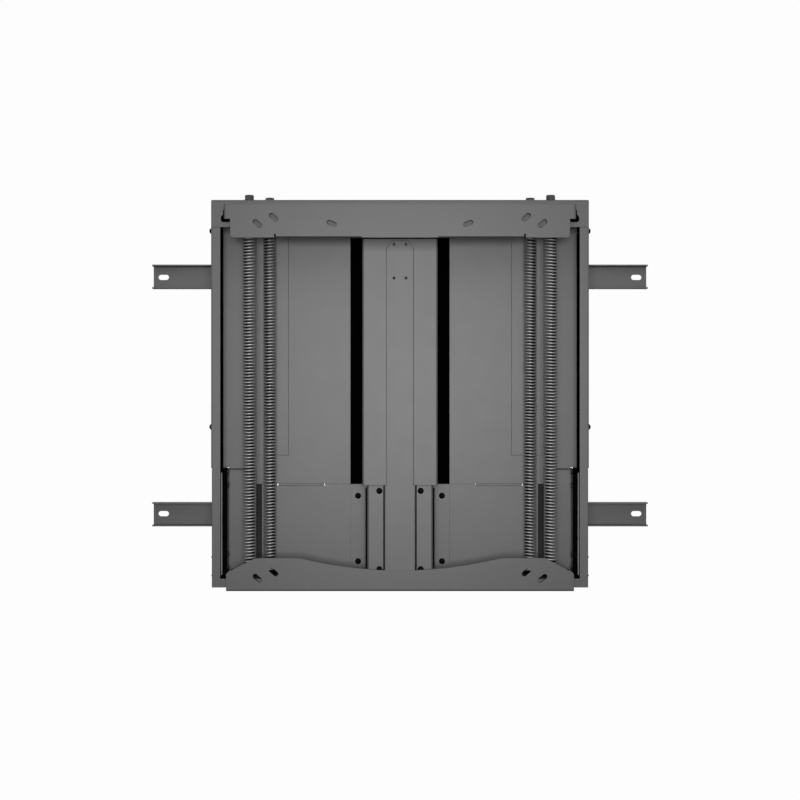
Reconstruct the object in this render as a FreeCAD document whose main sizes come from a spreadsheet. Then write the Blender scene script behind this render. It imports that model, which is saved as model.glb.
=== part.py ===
import FreeCAD, Part
import math
import os
import re

import Sketcher

# Height-adjustable tv wall mount, in millimetres. The origin is the middle of the wall slots on the wall
# plane, +Z is up and the front faces -Y. A carriage with a mast and two display bars slides up and down in
# a fixed housing. Four drawn-out springs carry it.

# Driving sizes
SIZES = {
    # Wall rails
    "stud_spacing": 812.8,
    "rail_spacing": 406.4,
    "rail_end": 17.1,
    "rail_height": 41.0,
    "rail_depth": 20.0,
    "rail_sheet": 2.5,
    "wall_slot_length": 18.0,
    "wall_slot_width": 9.0,
    "rail_block_width": 30.0,
    "rail_block_gap": 1.2,
    "rail_bolt_place": 215.0,
    "rail_bolt_size": 8.0,
    "rail_bolt_head": 14.0,
    "rail_bolt_head_height": 3.5,
    "rail_bolt_rim": 1.0,
    "rail_bolt_length": 21.0,
    # Housing
    "box_width": 625.0,
    "box_depth": 76.0,
    "box_raise": 3.0,
    "box_sheet": 2.0,
    "bend_radius": 1.0,
    "cap_bend": 2.5,
    "box_corner": 0.8,
    "front_flange": 14.05,
    "rear_lip": 8.0,
    "cap_height": 45.5,
    "cap_seam": 0.4,
    "cross_height": 14.5,
    "head_room": 25.4,
    "outer_plate_sheet": 1.2,
    "outer_plate_height": 444.6,
    "outer_plate_margin": 1.0,
    # Hook-shaped lock holes in the cap's corners, seen past the top bar's ears
    "lock_arm_length": 15.5,
    "lock_arm_height": 8.4,
    "lock_arm_past_ear": 6.4,
    "lock_floor": 8.1,
    "lock_elbow": 5.5,
    "lock_elbow_rise": 1.5,
    "lock_neck_width": 8.0,
    "lock_neck_offset": 2.0,
    "lock_neck_top": 29.5,
    "lock_plate_gap": 8.0,
    "lock_plate_sheet": 3.0,
    "lock_plate_margin": 2.0,
    # Inner panels and the well behind the mast
    "panel_standoff": 4.5,
    "panel_sheet": 1.5,
    "panel_side_gap": 9.2,
    "well_width": 168.0,
    "field_inner": 190.2,
    "field_width": 55.0,
    "field_rise": 217.6,
    "field_drop": 25.0,
    "field_step": 0.8,
    "groove_width": 0.45,
    "track_sheet": 1.0,
    "track_lip": 4.0,
    # Guide rails, tongues and sliders
    "travel": 400.0,
    "guide_offset": 17.0,
    "guide_width": 36.0,
    "guide_thickness": 9.4,
    "groove_depth": 5.0,
    "tongue_width": 24.0,
    "tongue_height": 171.5,
    "tongue_side_gap": 0.3,
    "tongue_end_gap": 0.5,
    "slider_gap": 2.5,
    "slider_thickness": 5.9,
    "slider_width": 28.0,
    "slider_height": 187.0,
    "slider_drop": 9.2,
    "slider_lip": 3.5,
    "slider_lip_reach": 2.5,
    "slider_screw_drop": 6.6,
    "slider_screw_pitch": 22.3,
    "slider_screw_rise": 18.8,
    "slider_screw_length": 6.0,
    "stop_gap": 0.3,
    "stop_height": 22.0,
    "bumper_radius": 8.0,
    "bumper_inset": 16.7,
    # Carriage plate
    "carriage_gap": 3.0,
    "plate_sheet": 2.0,
    "plate_height": 150.0,
    "wing_height": 176.7,
    "wing_width": 46.1,
    "wing_slot_width": 10.0,
    "wing_slot_rise": 20.0,
    "wing_lip_height": 3.4,
    "wing_lip_reach": 3.0,
    "wing_lip_edge": 0.8,
    "glide_sheet": 1.6,
    "glide_margin": 2.0,
    "wing_flange_reach": 27.0,
    "wing_flange_sheet": 2.0,
    # Catch bars on the plate's top edge, with a pin at each end
    "catch_inner_gap": 44.4,
    "catch_outer_gap": 28.0,
    "catch_height": 3.4,
    "catch_sheet": 1.6,
    "catch_past_edge": 0.8,
    "catch_pin_size": 1.8,
    "corner_pin_size": 2.2,
    "corner_pin_length": 4.5,
    # Shelves under the springs
    "shelf_sheet": 3.0,
    "shelf_clearance": 1.0,
    "shelf_edge_gap": 3.7,
    "shelf_past_spring": 20.4,
    "shelf_arm_width": 25.0,
    "shelf_leg_rise": 3.5,
    "shelf_back_rise": 6.0,
    # Mast, strap and brackets
    "mast_gap": 1.0,
    "mast_width": 125.0,
    "mast_depth": 8.5,
    "mast_sheet": 2.0,
    "mast_rise": 1.6,
    "mast_drop": 3.9,
    "strap_sheet": 2.0,
    "strap_foot_gap": 2.6,
    "strap_foot_step": 2.3,
    "strap_drop": 4.1,
    "strap_chamfer_width": 9.7,
    "strap_chamfer_height": 13.2,
    "head_plate_width": 104.0,
    "head_plate_rise": 5.4,
    "bracket_sheet": 2.5,
    "bracket_inset": 5.7,
    "bracket_lip": 27.1,
    "bracket_strip": 29.5,
    "bracket_slit_gap": 0.8,
    "bracket_slit_width": 3.0,
    "bracket_slit_margin": 6.5,
    "strip_screw_offset": 16.4,
    "strip_screw_drop": 19.7,
    "strip_screw_rise": 19.1,
    "web_screw_offset": 20.6,
    "web_screw_drop": 7.7,
    "web_screw_rise": 12.5,
    "edge_screw_offset": 5.4,
    "edge_screw_rise": 6.3,
    "spacer_offset": 1.3,
    "spacer_width": 14.0,
    "spacer_rise": 2.0,
    "spacer_height": 21.0,
    "foot_spacer_height": 6.0,
    # Display bars
    "bar_sheet": 2.5,
    "bar_bend": 0.5,
    "bar_flange_reach": 12.5,
    "bar_flange_root": 10.0,
    "bar_notch_gap": 1.0,
    "top_bar_inset": 21.5,
    "top_bar_drop": 64.4,
    "top_bar_height": 55.3,
    "top_bar_corner": 5.0,
    "ear_reach": 10.3,
    "ear_height": 24.4,
    "flange_cutback": 86.0,
    "relief_width": 3.0,
    "relief_height": 6.0,
    "bottom_bar_inset": 25.2,
    "bottom_bar_drop": 4.6,
    "bottom_bar_end_height": 29.9,
    "bottom_bar_shoulder": 54.7,
    "bottom_bar_shoulder_inset": 47.3,
    "bottom_bar_dip_half": 166.8,
    "bottom_bar_dip": 20.5,
    "bottom_bar_dip_round": 60.0,
    "bottom_bar_shoulder_round": 30.0,
    "bottom_bar_end_round": 6.0,
    "display_slot_length": 17.4,
    "display_slot_width": 8.4,
    "display_slot_slant": 40.0,
    "display_slot_inset": 55.5,
    "display_slot_pitch": 26.8,
    "display_slot_step": 10.2,
    "middle_slot_place": 112.9,
    "middle_slot_slant": 22.0,
    "top_slot_rise": 23.3,
    "bottom_slot_rise": 21.5,
    # Springs, plugs and adjusters
    "spring_inset": 39.3,
    "spring_pitch": 31.0,
    "spring_wire": 2.5,
    "spring_diameter": 22.0,
    "spring_curls": 25.0,
    "spring_end_bend": 3.5,
    "plug_gap": 0.4,
    "collar_radius": 11.6,
    "collar_height": 4.0,
    "spigot_height": 22.0,
    "plug_drop": 33.0,
    "plug_bolt_size": 6.0,
    "plug_bolt_head": 10.0,
    "plug_bolt_head_height": 4.0,
    "plug_bolt_depth": 14.0,
    "adjuster_size": 8.0,
    "adjuster_gap": 0.08,
    "adjuster_tail": 5.9,
    "adjuster_flats": 13.0,
    "adjuster_crown": 6.1,
    "adjuster_head_height": 7.4,
    "adjuster_hole": 9.0,
    "washer_radius": 8.0,
    "washer_height": 1.6,
    "seat_gap": 0.1,
    # Dome screws and rivets
    "dome_diameter": 10.2,
    "dome_height": 2.3,
    "dome_rim": 0.6,
    "dome_shank": 5.0,
    "dome_shank_length": 2.4,
    "dome_clearance": 0.2,
    "socket_flats": 3.0,
    "socket_depth": 1.2,
    "side_screw_diameter": 9.5,
    "side_screw_height": 3.9,
    "side_screw_rim": 1.4,
    "side_screw_inset": 9.0,
    "side_screw_drop": 5.8,
    "side_screw_rise": 68.1,
    "side_rivet_diameter": 4.0,
    "side_rivet_height": 1.9,
    "side_rivet_rise": 19.1,
    "side_rivet_pitch": 30.7,
    "strap_rivet_diameter": 5.0,
    "strap_rivet_height": 1.2,
    "strap_rivet_inset": 12.9,
    "strap_rivet_drop": 6.5,
    "strap_rivet_pitch": 56.0,
    "rivet_shank": 2.4,
    "rivet_rim": 0.3,
    "hole_gap": 0.1,
}

doc = FreeCAD.newDocument("tv_wall_mount")
sheet = doc.addObject("Spreadsheet::Sheet", "Sizes")
for row, (alias, size) in enumerate(SIZES.items(), start=1):
    sheet.set(f"A{row}", alias)
    sheet.set(f"B{row}", str(size))
    sheet.setAlias(f"B{row}", alias)
doc.recompute()

ALIAS = re.compile(r"\b(" + "|".join(SIZES) + r")\b")
SIDES = (("left", "-"), ("right", ""))
nodes = {}

# Levels along Y, from the wall to the front, as expressions of the sizes
BACK_REAR = "(-rail_depth)"
BACK_FACE = f"({BACK_REAR} - box_sheet)"
PANEL_REAR = f"({BACK_FACE} - panel_standoff)"
PANEL_FACE = f"({PANEL_REAR} - panel_sheet)"
PLATE_REAR = f"({PANEL_FACE} - carriage_gap)"
PLATE_FACE = f"({PLATE_REAR} - plate_sheet)"
STRIP_FACE = f"({PLATE_FACE} - bracket_sheet)"
GUIDE_Y = f"({PLATE_FACE} - guide_offset)"
BOX_FRONT = f"({BACK_REAR} - box_depth)"
MAST_REAR = f"({BOX_FRONT} - mast_gap)"
MAST_FACE = f"({MAST_REAR} - mast_depth)"
BRACKET_FACE = f"({MAST_FACE} + mast_sheet + dome_height + dome_clearance)"
BAR_REAR = f"({MAST_FACE} - strap_sheet)"
BAR_FACE = f"({BAR_REAR} - bar_sheet)"
FLANGE_REAR = f"({BAR_FACE} + bar_flange_reach)"

# Levels along Z
BOX_HEIGHT = (
    "(cross_height + shelf_clearance + shelf_sheet - slider_drop + slider_height"
    " + travel + stop_gap + stop_height + head_room)"
)
BOX_TOP = f"(box_raise + {BOX_HEIGHT} / 2)"
BOX_FLOOR = f"(box_raise - {BOX_HEIGHT} / 2)"
CAP_FLOOR = f"({BOX_TOP} - cap_height)"
WALL_TOP = f"({CAP_FLOOR} - cap_seam)"
INSIDE_TOP = f"({BOX_TOP} - box_sheet)"
INSIDE_FLOOR = f"({BOX_FLOOR} + box_sheet)"
CROSS_TOP = f"({BOX_FLOOR} + cross_height)"
SHELF_FLOOR = f"({CROSS_TOP} + shelf_clearance)"
SHELF_TOP = f"({SHELF_FLOOR} + shelf_sheet)"
PLATE_TOP = f"({SHELF_TOP} + plate_height)"
WING_TOP = f"({SHELF_TOP} + wing_height)"
SLIDER_FLOOR = f"({SHELF_TOP} - slider_drop)"
SLIDER_TOP = f"({SLIDER_FLOOR} + slider_height)"
TONGUE_TOP = f"(({SLIDER_FLOOR} + {SLIDER_TOP} + tongue_height) / 2)"
STOP_FLOOR = f"({TONGUE_TOP} + travel + stop_gap)"
GUIDE_TOP = f"({SLIDER_TOP} + travel + stop_gap + stop_height)"
OUTER_PLATE_TOP = f"({BOX_TOP} - outer_plate_margin)"
OUTER_PLATE_FLOOR = f"({OUTER_PLATE_TOP} - outer_plate_height)"
LOWER_COLLAR_TOP = f"({SHELF_TOP} + collar_height)"
PLUG_FLOOR = f"({INSIDE_TOP} - plug_drop)"
SPIGOT_FLOOR = f"({PLUG_FLOOR} - spigot_height)"
WASHER_TOP = f"({BOX_TOP} + washer_height)"
TOP_BAR_FLOOR = f"({BOX_TOP} - top_bar_drop)"
TOP_BAR_TOP = f"({TOP_BAR_FLOOR} + top_bar_height)"
BOTTOM_BAR_FLOOR = f"({BOX_FLOOR} - bottom_bar_drop)"
MAST_FLOOR = f"({PLATE_TOP} + mast_rise)"
MAST_TOP = f"({TOP_BAR_TOP} - mast_drop)"
STRAP_TOP = f"({TOP_BAR_FLOOR} - strap_drop)"

# Distances from the middle across X
BOX_SIDE = "(box_width / 2)"
BOX_WALL = f"({BOX_SIDE} - box_sheet)"
FLANGE_EDGE = f"({BOX_SIDE} - front_flange)"
GUIDE_FACE = f"({BOX_WALL} - guide_thickness)"
SLIDER_OUTER = f"({GUIDE_FACE} - slider_gap)"
SLIDER_INNER = f"({SLIDER_OUTER} - slider_thickness)"
WING_EDGE = f"({SLIDER_INNER} - wing_flange_sheet)"
WING_STEP = f"({WING_EDGE} - wing_width)"
OUTER_SPRING = f"({WING_EDGE} - spring_inset)"
INNER_SPRING = f"({OUTER_SPRING} - spring_pitch)"
SHELF_EDGE = f"({WING_EDGE} - shelf_edge_gap)"
TOP_BAR_EAR = f"({BOX_SIDE} - top_bar_inset)"
TOP_BAR_END = f"({TOP_BAR_EAR} - ear_reach)"
FLANGE_END = f"({TOP_BAR_EAR} - flange_cutback)"
FLANGE_NOTCH = "(mast_width / 2 + bar_notch_gap)"
BOTTOM_BAR_END = f"({BOX_SIDE} - bottom_bar_inset)"
BRACKET_WEB = "(mast_width / 2 - mast_sheet - bracket_inset)"
BRACKET_INNER = f"({BRACKET_WEB} - bracket_lip)"
BRACKET_OUTER = f"({BRACKET_WEB} + bracket_strip)"
STRAP_FOOT = f"({BRACKET_INNER} - strap_foot_gap)"
STRAP_SIDE = f"({STRAP_FOOT} - strap_foot_step)"
DISPLAY_SLOT = f"({TOP_BAR_EAR} - display_slot_inset)"
SPIGOT_RADIUS = "(spring_diameter / 2 - spring_wire - plug_gap)"

SIDE_SCREW_Y = f"({BOX_FRONT} + side_screw_inset)"

# How far a cutter reaches past what it cuts
OVER = "1"

# How near an edge's end lies to a corner that it belongs to
CORNER_MATCH = 0.01

# Rounds in which the slope of the springs settles
SLOPE_ROUNDS = 20


def link(text):
    """Puts the sheet's name before each alias in an expression."""
    return ALIAS.sub(r"Sizes.\1", text)


def value(text):
    """The number that an expression of the sizes gives."""
    return float(sheet.evalExpression(text))


def bind(thing, prop, text):
    thing.setExpression(prop, link(text))


def bind_place(thing, place):
    for letter, text in zip("xyz", place):
        bind(thing, f"Placement.Base.{letter}", text)


def across(sign, inner, outer):
    """The X span of a piece on one side, from its inner and outer distance to the middle."""
    if sign == "-":
        return f"-({outer})", f"-({inner})"
    return inner, outer


def centred(half):
    return f"-({half})", half


def block(name, x, y, z):
    """A box between the given bounds."""
    box = doc.addObject("Part::Box", name)
    for prop, (low, high) in (("Length", x), ("Width", y), ("Height", z)):
        bind(box, prop, f"({high}) - ({low})")
    bind_place(box, (x[0], y[0], z[0]))
    return box


DIRECTIONS = {
    "x": (1, 0, 0),
    "-x": (-1, 0, 0),
    "y": (0, 1, 0),
    "-y": (0, -1, 0),
    "z": (0, 0, 1),
    "-z": (0, 0, -1),
}


def aim(thing, direction):
    """Turns a primitive's own Z axis to a direction, such as -y."""
    turn = FreeCAD.Rotation(FreeCAD.Vector(0, 0, 1), FreeCAD.Vector(DIRECTIONS[direction]))
    thing.Placement = FreeCAD.Placement(FreeCAD.Vector(), turn)


def along(place, direction, distance):
    """A place moved along a direction."""
    moved = list(place)
    index = "xyz".index(direction[-1])
    moved[index] = f"({place[index]}) {'-' if direction[0] == '-' else '+'} ({distance})"
    return moved


def rod(name, place, radius, height, direction="z"):
    """A cylinder that starts at a place and runs along a direction."""
    cylinder = doc.addObject("Part::Cylinder", name)
    aim(cylinder, direction)
    bind(cylinder, "Radius", radius)
    bind(cylinder, "Height", height)
    bind_place(cylinder, place)
    return cylinder


def hexagon(name, place, flats, height, direction="z"):
    """A hexagonal prism that starts at a place and runs along a direction."""
    prism = doc.addObject("Part::Prism", name)
    prism.Polygon = 6
    aim(prism, direction)
    bind(prism, "Circumradius", f"{flats} / sqrt(3)")
    bind(prism, "Height", height)
    bind_place(prism, place)
    return prism


def fuse(name, pieces):
    if len(pieces) == 1:
        return pieces[0]
    joined = doc.addObject("Part::MultiFuse", name)
    joined.Shapes = pieces
    joined.Refine = True
    return joined


def common(name, pieces):
    shared = doc.addObject("Part::MultiCommon", name)
    shared.Shapes = pieces
    return shared


def cut(name, base, tools):
    result = doc.addObject("Part::Cut", name)
    result.Base = base
    result.Tool = fuse(name + "_tools", tools)
    result.Refine = True
    return result


def group(name, pieces):
    compound = doc.addObject("Part::Compound", name)
    compound.Links = pieces
    return compound


def add_node(label, piece):
    """Names a finished sub-part."""
    piece.Label = label
    nodes[label] = piece


def outline_pad(name, plane, corners, start, length, bends=(), arcs=None):
    """A body padded from an outline whose corners are expressions.

    The pad starts at a level along the plane's axis and runs along that axis, on the XZ plane towards -Y.
    bends holds corner numbers with the radius that rounds them. arcs gives the radius of an outline side
    that is a hollow arc, by the number of the corner where the side starts.
    """
    arcs = arcs or {}
    body = doc.addObject("PartDesign::Body", name)
    base = next(feature for feature in body.Origin.OriginFeatures if feature.Role == plane)
    sketch = body.newObject("Sketcher::SketchObject", name + "_outline")
    sketch.AttachmentSupport = [(base, "")]
    sketch.MapMode = "FlatFace"
    points = [FreeCAD.Vector(value(u), value(v), 0) for u, v in corners]
    for index, point in enumerate(points):
        following = points[(index + 1) % len(points)]
        if index in arcs:
            sketch.addGeometry(hollow_arc(point, following, value(arcs[index])))
        else:
            sketch.addGeometry(Part.LineSegment(point, following))
    for index in range(len(points)):
        sketch.addConstraint(Sketcher.Constraint("Coincident", index, 2, (index + 1) % len(points), 1))
    for index, (u, v) in enumerate(corners):
        for kind, number, text in (("DistanceX", points[index].x, u), ("DistanceY", points[index].y, v)):
            constraint = sketch.addConstraint(Sketcher.Constraint(kind, index, 1, number))
            bind(sketch, f"Constraints[{constraint}]", text)
    for index, radius in arcs.items():
        constraint = sketch.addConstraint(Sketcher.Constraint("Radius", index, value(radius)))
        bind(sketch, f"Constraints[{constraint}]", radius)
    bind(sketch, "AttachmentOffset.Base.z", f"-({start})" if plane == "XZ_Plane" else start)
    pad = body.newObject("PartDesign::Pad", name + "_pad")
    pad.Profile = sketch
    bind(pad, "Length", length)
    doc.recompute()
    for number, (indices, radius) in enumerate(bends):
        edges = corner_edges(body.Shape, plane, [points[index] for index in indices])
        fillet = body.newObject("PartDesign::Fillet", f"{name}_bend{number}")
        fillet.Base = (fillet.BaseFeature, edges)
        bind(fillet, "Radius", radius)
        doc.recompute()
    return body


def hollow_arc(start, end, radius):
    """The arc below the line from start to end, with its centre above it."""
    half = (end - start) * 0.5
    rise = math.sqrt(radius * radius - half.Length * half.Length)
    centre = start + half + FreeCAD.Vector(-half.y, half.x, 0).normalize() * rise
    first = math.atan2(start.y - centre.y, start.x - centre.x)
    last = math.atan2(end.y - centre.y, end.x - centre.x)
    return Part.ArcOfCircle(Part.Circle(centre, FreeCAD.Vector(0, 0, 1), radius), first, last)


def corner_edges(shape, plane, points):
    """Names of the edges that run along the pad at corners of its outline."""
    axis = {"YZ_Plane": 0, "XZ_Plane": 1, "XY_Plane": 2}[plane]
    names = []
    for number, edge in enumerate(shape.Edges, start=1):
        ends = [[c for i, c in enumerate(vertex.Point) if i != axis] for vertex in edge.Vertexes]
        for point in points:
            if all(math.dist(end, (point.x, point.y)) < CORNER_MATCH for end in ends):
                names.append(f"Edge{number}")
    return names


def slot_cutter(name, place, length, width, depth, slant=0):
    """A cutter for a slot, centred at a place, that runs from there towards the front."""
    half = f"({length} - {width}) / 2"
    middle = block(name + "_middle", centred(half), (f"-({depth})", "0"), centred(f"{width} / 2"))
    right = rod(name + "_right", (half, "0", "0"), f"{width} / 2", depth, "-y")
    left = rod(name + "_left", (f"-({half})", "0", "0"), f"{width} / 2", depth, "-y")
    slot = fuse(name, [middle, right, left])
    slot.Placement = FreeCAD.Placement(FreeCAD.Vector(), FreeCAD.Rotation(FreeCAD.Vector(0, 1, 0), slant))
    bind_place(slot, place)
    return slot


def dome_head(name, place, direction, diameter, height, rim):
    """A screw head with a short straight rim and a domed top, on a seat at place."""
    cap = f"({height} - {rim})"
    ball_radius = f"(({diameter} / 2)^2 + {cap}^2) / (2 * {cap})"
    cylinder = rod(name + "_rim", place, f"{diameter} / 2", f"{height} + {rim}", direction)
    ball = doc.addObject("Part::Sphere", name + "_ball")
    aim(ball, direction)
    bind(ball, "Radius", ball_radius)
    bind_place(ball, along(place, direction, f"{height} - {ball_radius}"))
    return common(name, [cylinder, ball])


def opposite(direction):
    return direction[1:] if direction[0] == "-" else "-" + direction


def rivet(name, place, direction, diameter, height, rim, shank, length):
    """A domed head with a plain shank behind its seat."""
    head = dome_head(name + "_head", place, direction, diameter, height, rim)
    inside = along(place, direction, rim)
    stem = rod(name + "_shank", inside, f"{shank} / 2", f"{length} + {rim}", opposite(direction))
    return fuse(name, [head, stem])


def dome_screw(name, place, direction, length="dome_shank_length"):
    """A domed screw with a hexagonal socket."""
    head = ("dome_diameter", "dome_height", "dome_rim", "dome_shank")
    body = rivet(name + "_body", place, direction, *head, length)
    recess_place = along(place, direction, "dome_height - socket_depth")
    recess = hexagon(name + "_socket", recess_place, "socket_flats", f"socket_depth + {OVER}", direction)
    return cut(name, body, [recess])


def holes(name, places, direction, diameter, thickness):
    """Clearance holes through a wall of some thickness, from each place on."""
    tools = []
    for number, place in enumerate(places):
        start = along(place, opposite(direction), OVER)
        depth = f"{thickness} + {OVER} * 2"
        tools.append(rod(f"{name}{number}", start, f"{diameter} / 2 + hole_gap", depth, direction))
    return tools


# Places of fasteners and springs
RAIL_BOLTS = {
    rail: [(f"{s}rail_bolt_place", BACK_FACE, middle) for _, s in SIDES]
    for rail, middle in (("upper", "rail_spacing / 2"), ("lower", "-rail_spacing / 2"))
}
SPRINGS = [
    (f"{row}_{side}", f"{s}{distance}", depth)
    for side, s in SIDES
    for row, distance, depth in (
        ("outer", OUTER_SPRING, f"({BOX_FRONT} + box_sheet + plug_gap + collar_radius)"),
        ("inner", INNER_SPRING, f"({PLATE_FACE} - plug_gap - collar_radius)"),
    )
]
STRAP_RIVETS = [
    (f"{s}({STRAP_SIDE} - strap_rivet_inset)", BAR_REAR, f"{STRAP_TOP} - strap_rivet_drop - {lower}")
    for _, s in SIDES
    for lower in ("0", "strap_rivet_pitch")
]


def strip_screws(s):
    """Screws through a bracket's outer strip into the plate."""
    heights = (f"{PLATE_TOP} - strip_screw_drop", f"{SHELF_TOP} + strip_screw_rise")
    return [(f"{s}({BRACKET_WEB} + strip_screw_offset)", STRIP_FACE, z) for z in heights]


def web_screws(s):
    """Screws on a bracket's front. The highest one sits half hidden under the mast's lower edge."""
    return [
        (f"{s}({BRACKET_WEB} - web_screw_offset)", BRACKET_FACE, f"{PLATE_TOP} - web_screw_drop"),
        (f"{s}({BRACKET_WEB} - web_screw_offset)", BRACKET_FACE, f"{SHELF_TOP} + web_screw_rise"),
        (f"{s}({BRACKET_WEB} - edge_screw_offset)", BRACKET_FACE, f"{PLATE_TOP} + edge_screw_rise"),
    ]


def slider_screws(s):
    """Screws from inside through a wing flange into its slider."""
    upper = f"{SLIDER_TOP} - slider_screw_drop"
    lower = f"{SLIDER_FLOOR} + slider_screw_rise"
    heights = (upper, f"{upper} - slider_screw_pitch", f"{lower} + slider_screw_pitch", lower)
    return [(f"{s}{WING_EDGE}", GUIDE_Y, z) for z in heights]


def side_screws(s):
    """Dome screws on an outer plate."""
    heights = (f"{CAP_FLOOR} - side_screw_drop", f"{OUTER_PLATE_FLOOR} + side_screw_rise")
    return [(f"{s}({BOX_SIDE} + outer_plate_sheet)", SIDE_SCREW_Y, z) for z in heights]


def side_rivets(s):
    """Small rivets on a side channel below the outer plate."""
    low = f"{BOX_FLOOR} + side_rivet_rise"
    return [(f"{s}{BOX_SIDE}", SIDE_SCREW_Y, z) for z in (low, f"{low} + side_rivet_pitch")]


def wall_rails():
    """Two C rails that open to the front, with a slot near each end for the wall screws."""
    half = "rail_height / 2"
    for rail, bolts in RAIL_BOLTS.items():
        middle = bolts[0][2]
        high = f"{middle} + {half}"
        low = f"{middle} - {half}"
        section = [
            ("0", low),
            ("0", high),
            (BACK_REAR, high),
            (BACK_REAR, f"{high} - rail_sheet"),
            ("-rail_sheet", f"{high} - rail_sheet"),
            ("-rail_sheet", f"{low} + rail_sheet"),
            (BACK_REAR, f"{low} + rail_sheet"),
            (BACK_REAR, low),
        ]
        length = "(stud_spacing + rail_end * 2)"
        bends = [((0, 1), "bend_radius + rail_sheet"), ((4, 5), "bend_radius")]
        profile = outline_pad(f"rail_section_{rail}", "YZ_Plane", section, f"-{length} / 2", length, bends)
        tools = []
        for side, s in SIDES:
            place = (f"{s}stud_spacing / 2", OVER, middle)
            depth = f"rail_sheet + {OVER} * 2"
            size = ("wall_slot_length", "wall_slot_width", depth)
            tools.append(slot_cutter(f"rail_slot_{rail}_{side}", place, *size))
        faces = [(x, "-rail_sheet", z) for x, _, z in bolts]
        tools += holes(f"rail_hole_{rail}_", faces, "y", "rail_bolt_size", "rail_sheet")
        add_node(f"wall_rail_{rail}", cut(f"wall_rail_{rail}", profile, tools))


def rail_fastening():
    """Blocks inside the rails, and the bolts that hold the housing to them."""
    blocks = []
    bolts = []
    for rail, places in RAIL_BOLTS.items():
        for number, (x, y, z) in enumerate(places):
            name = f"{rail}{number}"
            half = "(rail_height / 2 - rail_sheet - rail_block_gap)"
            body = block(
                f"rail_block_{name}",
                (f"{x} - rail_block_width / 2", f"{x} + rail_block_width / 2"),
                (BACK_REAR, "-rail_sheet"),
                (f"{z} - {half}", f"{z} + {half}"),
            )
            bore = holes(f"rail_block_bore_{name}", [(x, BACK_REAR, z)], "y", "rail_bolt_size", "rail_depth")
            blocks.append(cut(f"rail_block_bored_{name}", body, bore))
            bolts.append(
                rivet(
                    f"rail_bolt_{name}",
                    (x, y, z),
                    "-y",
                    "rail_bolt_head",
                    "rail_bolt_head_height",
                    "rail_bolt_rim",
                    "rail_bolt_size",
                    "rail_bolt_length",
                )
            )
    add_node("rail_blocks", group("rail_blocks", blocks))
    add_node("rail_bolts", group("rail_bolts", bolts))


def back_panel():
    """Rear sheet of the housing."""
    panel = block("back_sheet", centred(BOX_WALL), (BACK_FACE, BACK_REAR), (BOX_FLOOR, WALL_TOP))
    places = RAIL_BOLTS["upper"] + RAIL_BOLTS["lower"]
    tools = holes("back_hole", places, "y", "rail_bolt_size", "box_sheet")
    add_node("back_panel", cut("back_panel", panel, tools))


def side_channels():
    """Side walls with a front flange, and a rear lip in front of the back panel."""
    for side, s in SIDES:
        section = [
            (f"{s}{BOX_SIDE}", BACK_REAR),
            (f"{s}{BOX_SIDE}", BOX_FRONT),
            (f"{s}{FLANGE_EDGE}", BOX_FRONT),
            (f"{s}{FLANGE_EDGE}", f"{BOX_FRONT} + box_sheet"),
            (f"{s}{BOX_WALL}", f"{BOX_FRONT} + box_sheet"),
            (f"{s}{BOX_WALL}", f"{BACK_FACE} - box_sheet"),
            (f"{s}({BOX_WALL} - rear_lip)", f"{BACK_FACE} - box_sheet"),
            (f"{s}({BOX_WALL} - rear_lip)", BACK_FACE),
            (f"{s}{BOX_WALL}", BACK_FACE),
            (f"{s}{BOX_WALL}", BACK_REAR),
        ]
        bends = [((1,), "box_corner"), ((4, 5), "bend_radius")]
        height = f"{WALL_TOP} - {BOX_FLOOR}"
        channel = outline_pad(f"side_section_{side}", "XY_Plane", section, BOX_FLOOR, height, bends)
        walls = [(f"{s}{BOX_SIDE}", y, z) for _, y, z in side_screws(s)]
        inward = "x" if s else "-x"
        tools = holes(f"side_hole_{side}", walls, inward, "dome_shank", "box_sheet")
        tools += holes(f"side_rivet_hole_{side}", side_rivets(s), inward, "rivet_shank", "box_sheet")
        add_node(f"side_channel_{side}", cut(f"side_channel_{side}", channel, tools))


def top_cap():
    """Top plate with front flange, side walls and rear flange, lock holes and holes for the adjusters."""
    outside = [(BACK_REAR, CAP_FLOOR), (BACK_REAR, BOX_TOP), (BOX_FRONT, BOX_TOP), (BOX_FRONT, CAP_FLOOR)]
    bends = [((2,), "cap_bend + box_sheet")]
    shell = outline_pad("cap_section", "YZ_Plane", outside, f"-{BOX_SIDE}", "box_width", bends)
    below = f"{CAP_FLOOR} - {OVER}"
    front = f"{BOX_FRONT} + box_sheet"
    inside = [(BACK_FACE, below), (BACK_FACE, INSIDE_TOP), (front, INSIDE_TOP), (front, below)]
    bends = [((2,), "cap_bend")]
    hollow = outline_pad("cap_hollow", "YZ_Plane", inside, f"-{BOX_WALL}", f"{BOX_WALL} * 2", bends)
    tools = [hollow]
    for side, s in SIDES:
        tools += lock_hole(side, s)
    start = f"{INSIDE_TOP} - {OVER}"
    through = f"box_sheet + {OVER} * 2"
    for name, x, y in SPRINGS:
        tools.append(rod(f"adjuster_hole_{name}", (x, y, start), "adjuster_hole / 2", through))
    add_node("top_cap", cut("top_cap", shell, tools))


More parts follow.
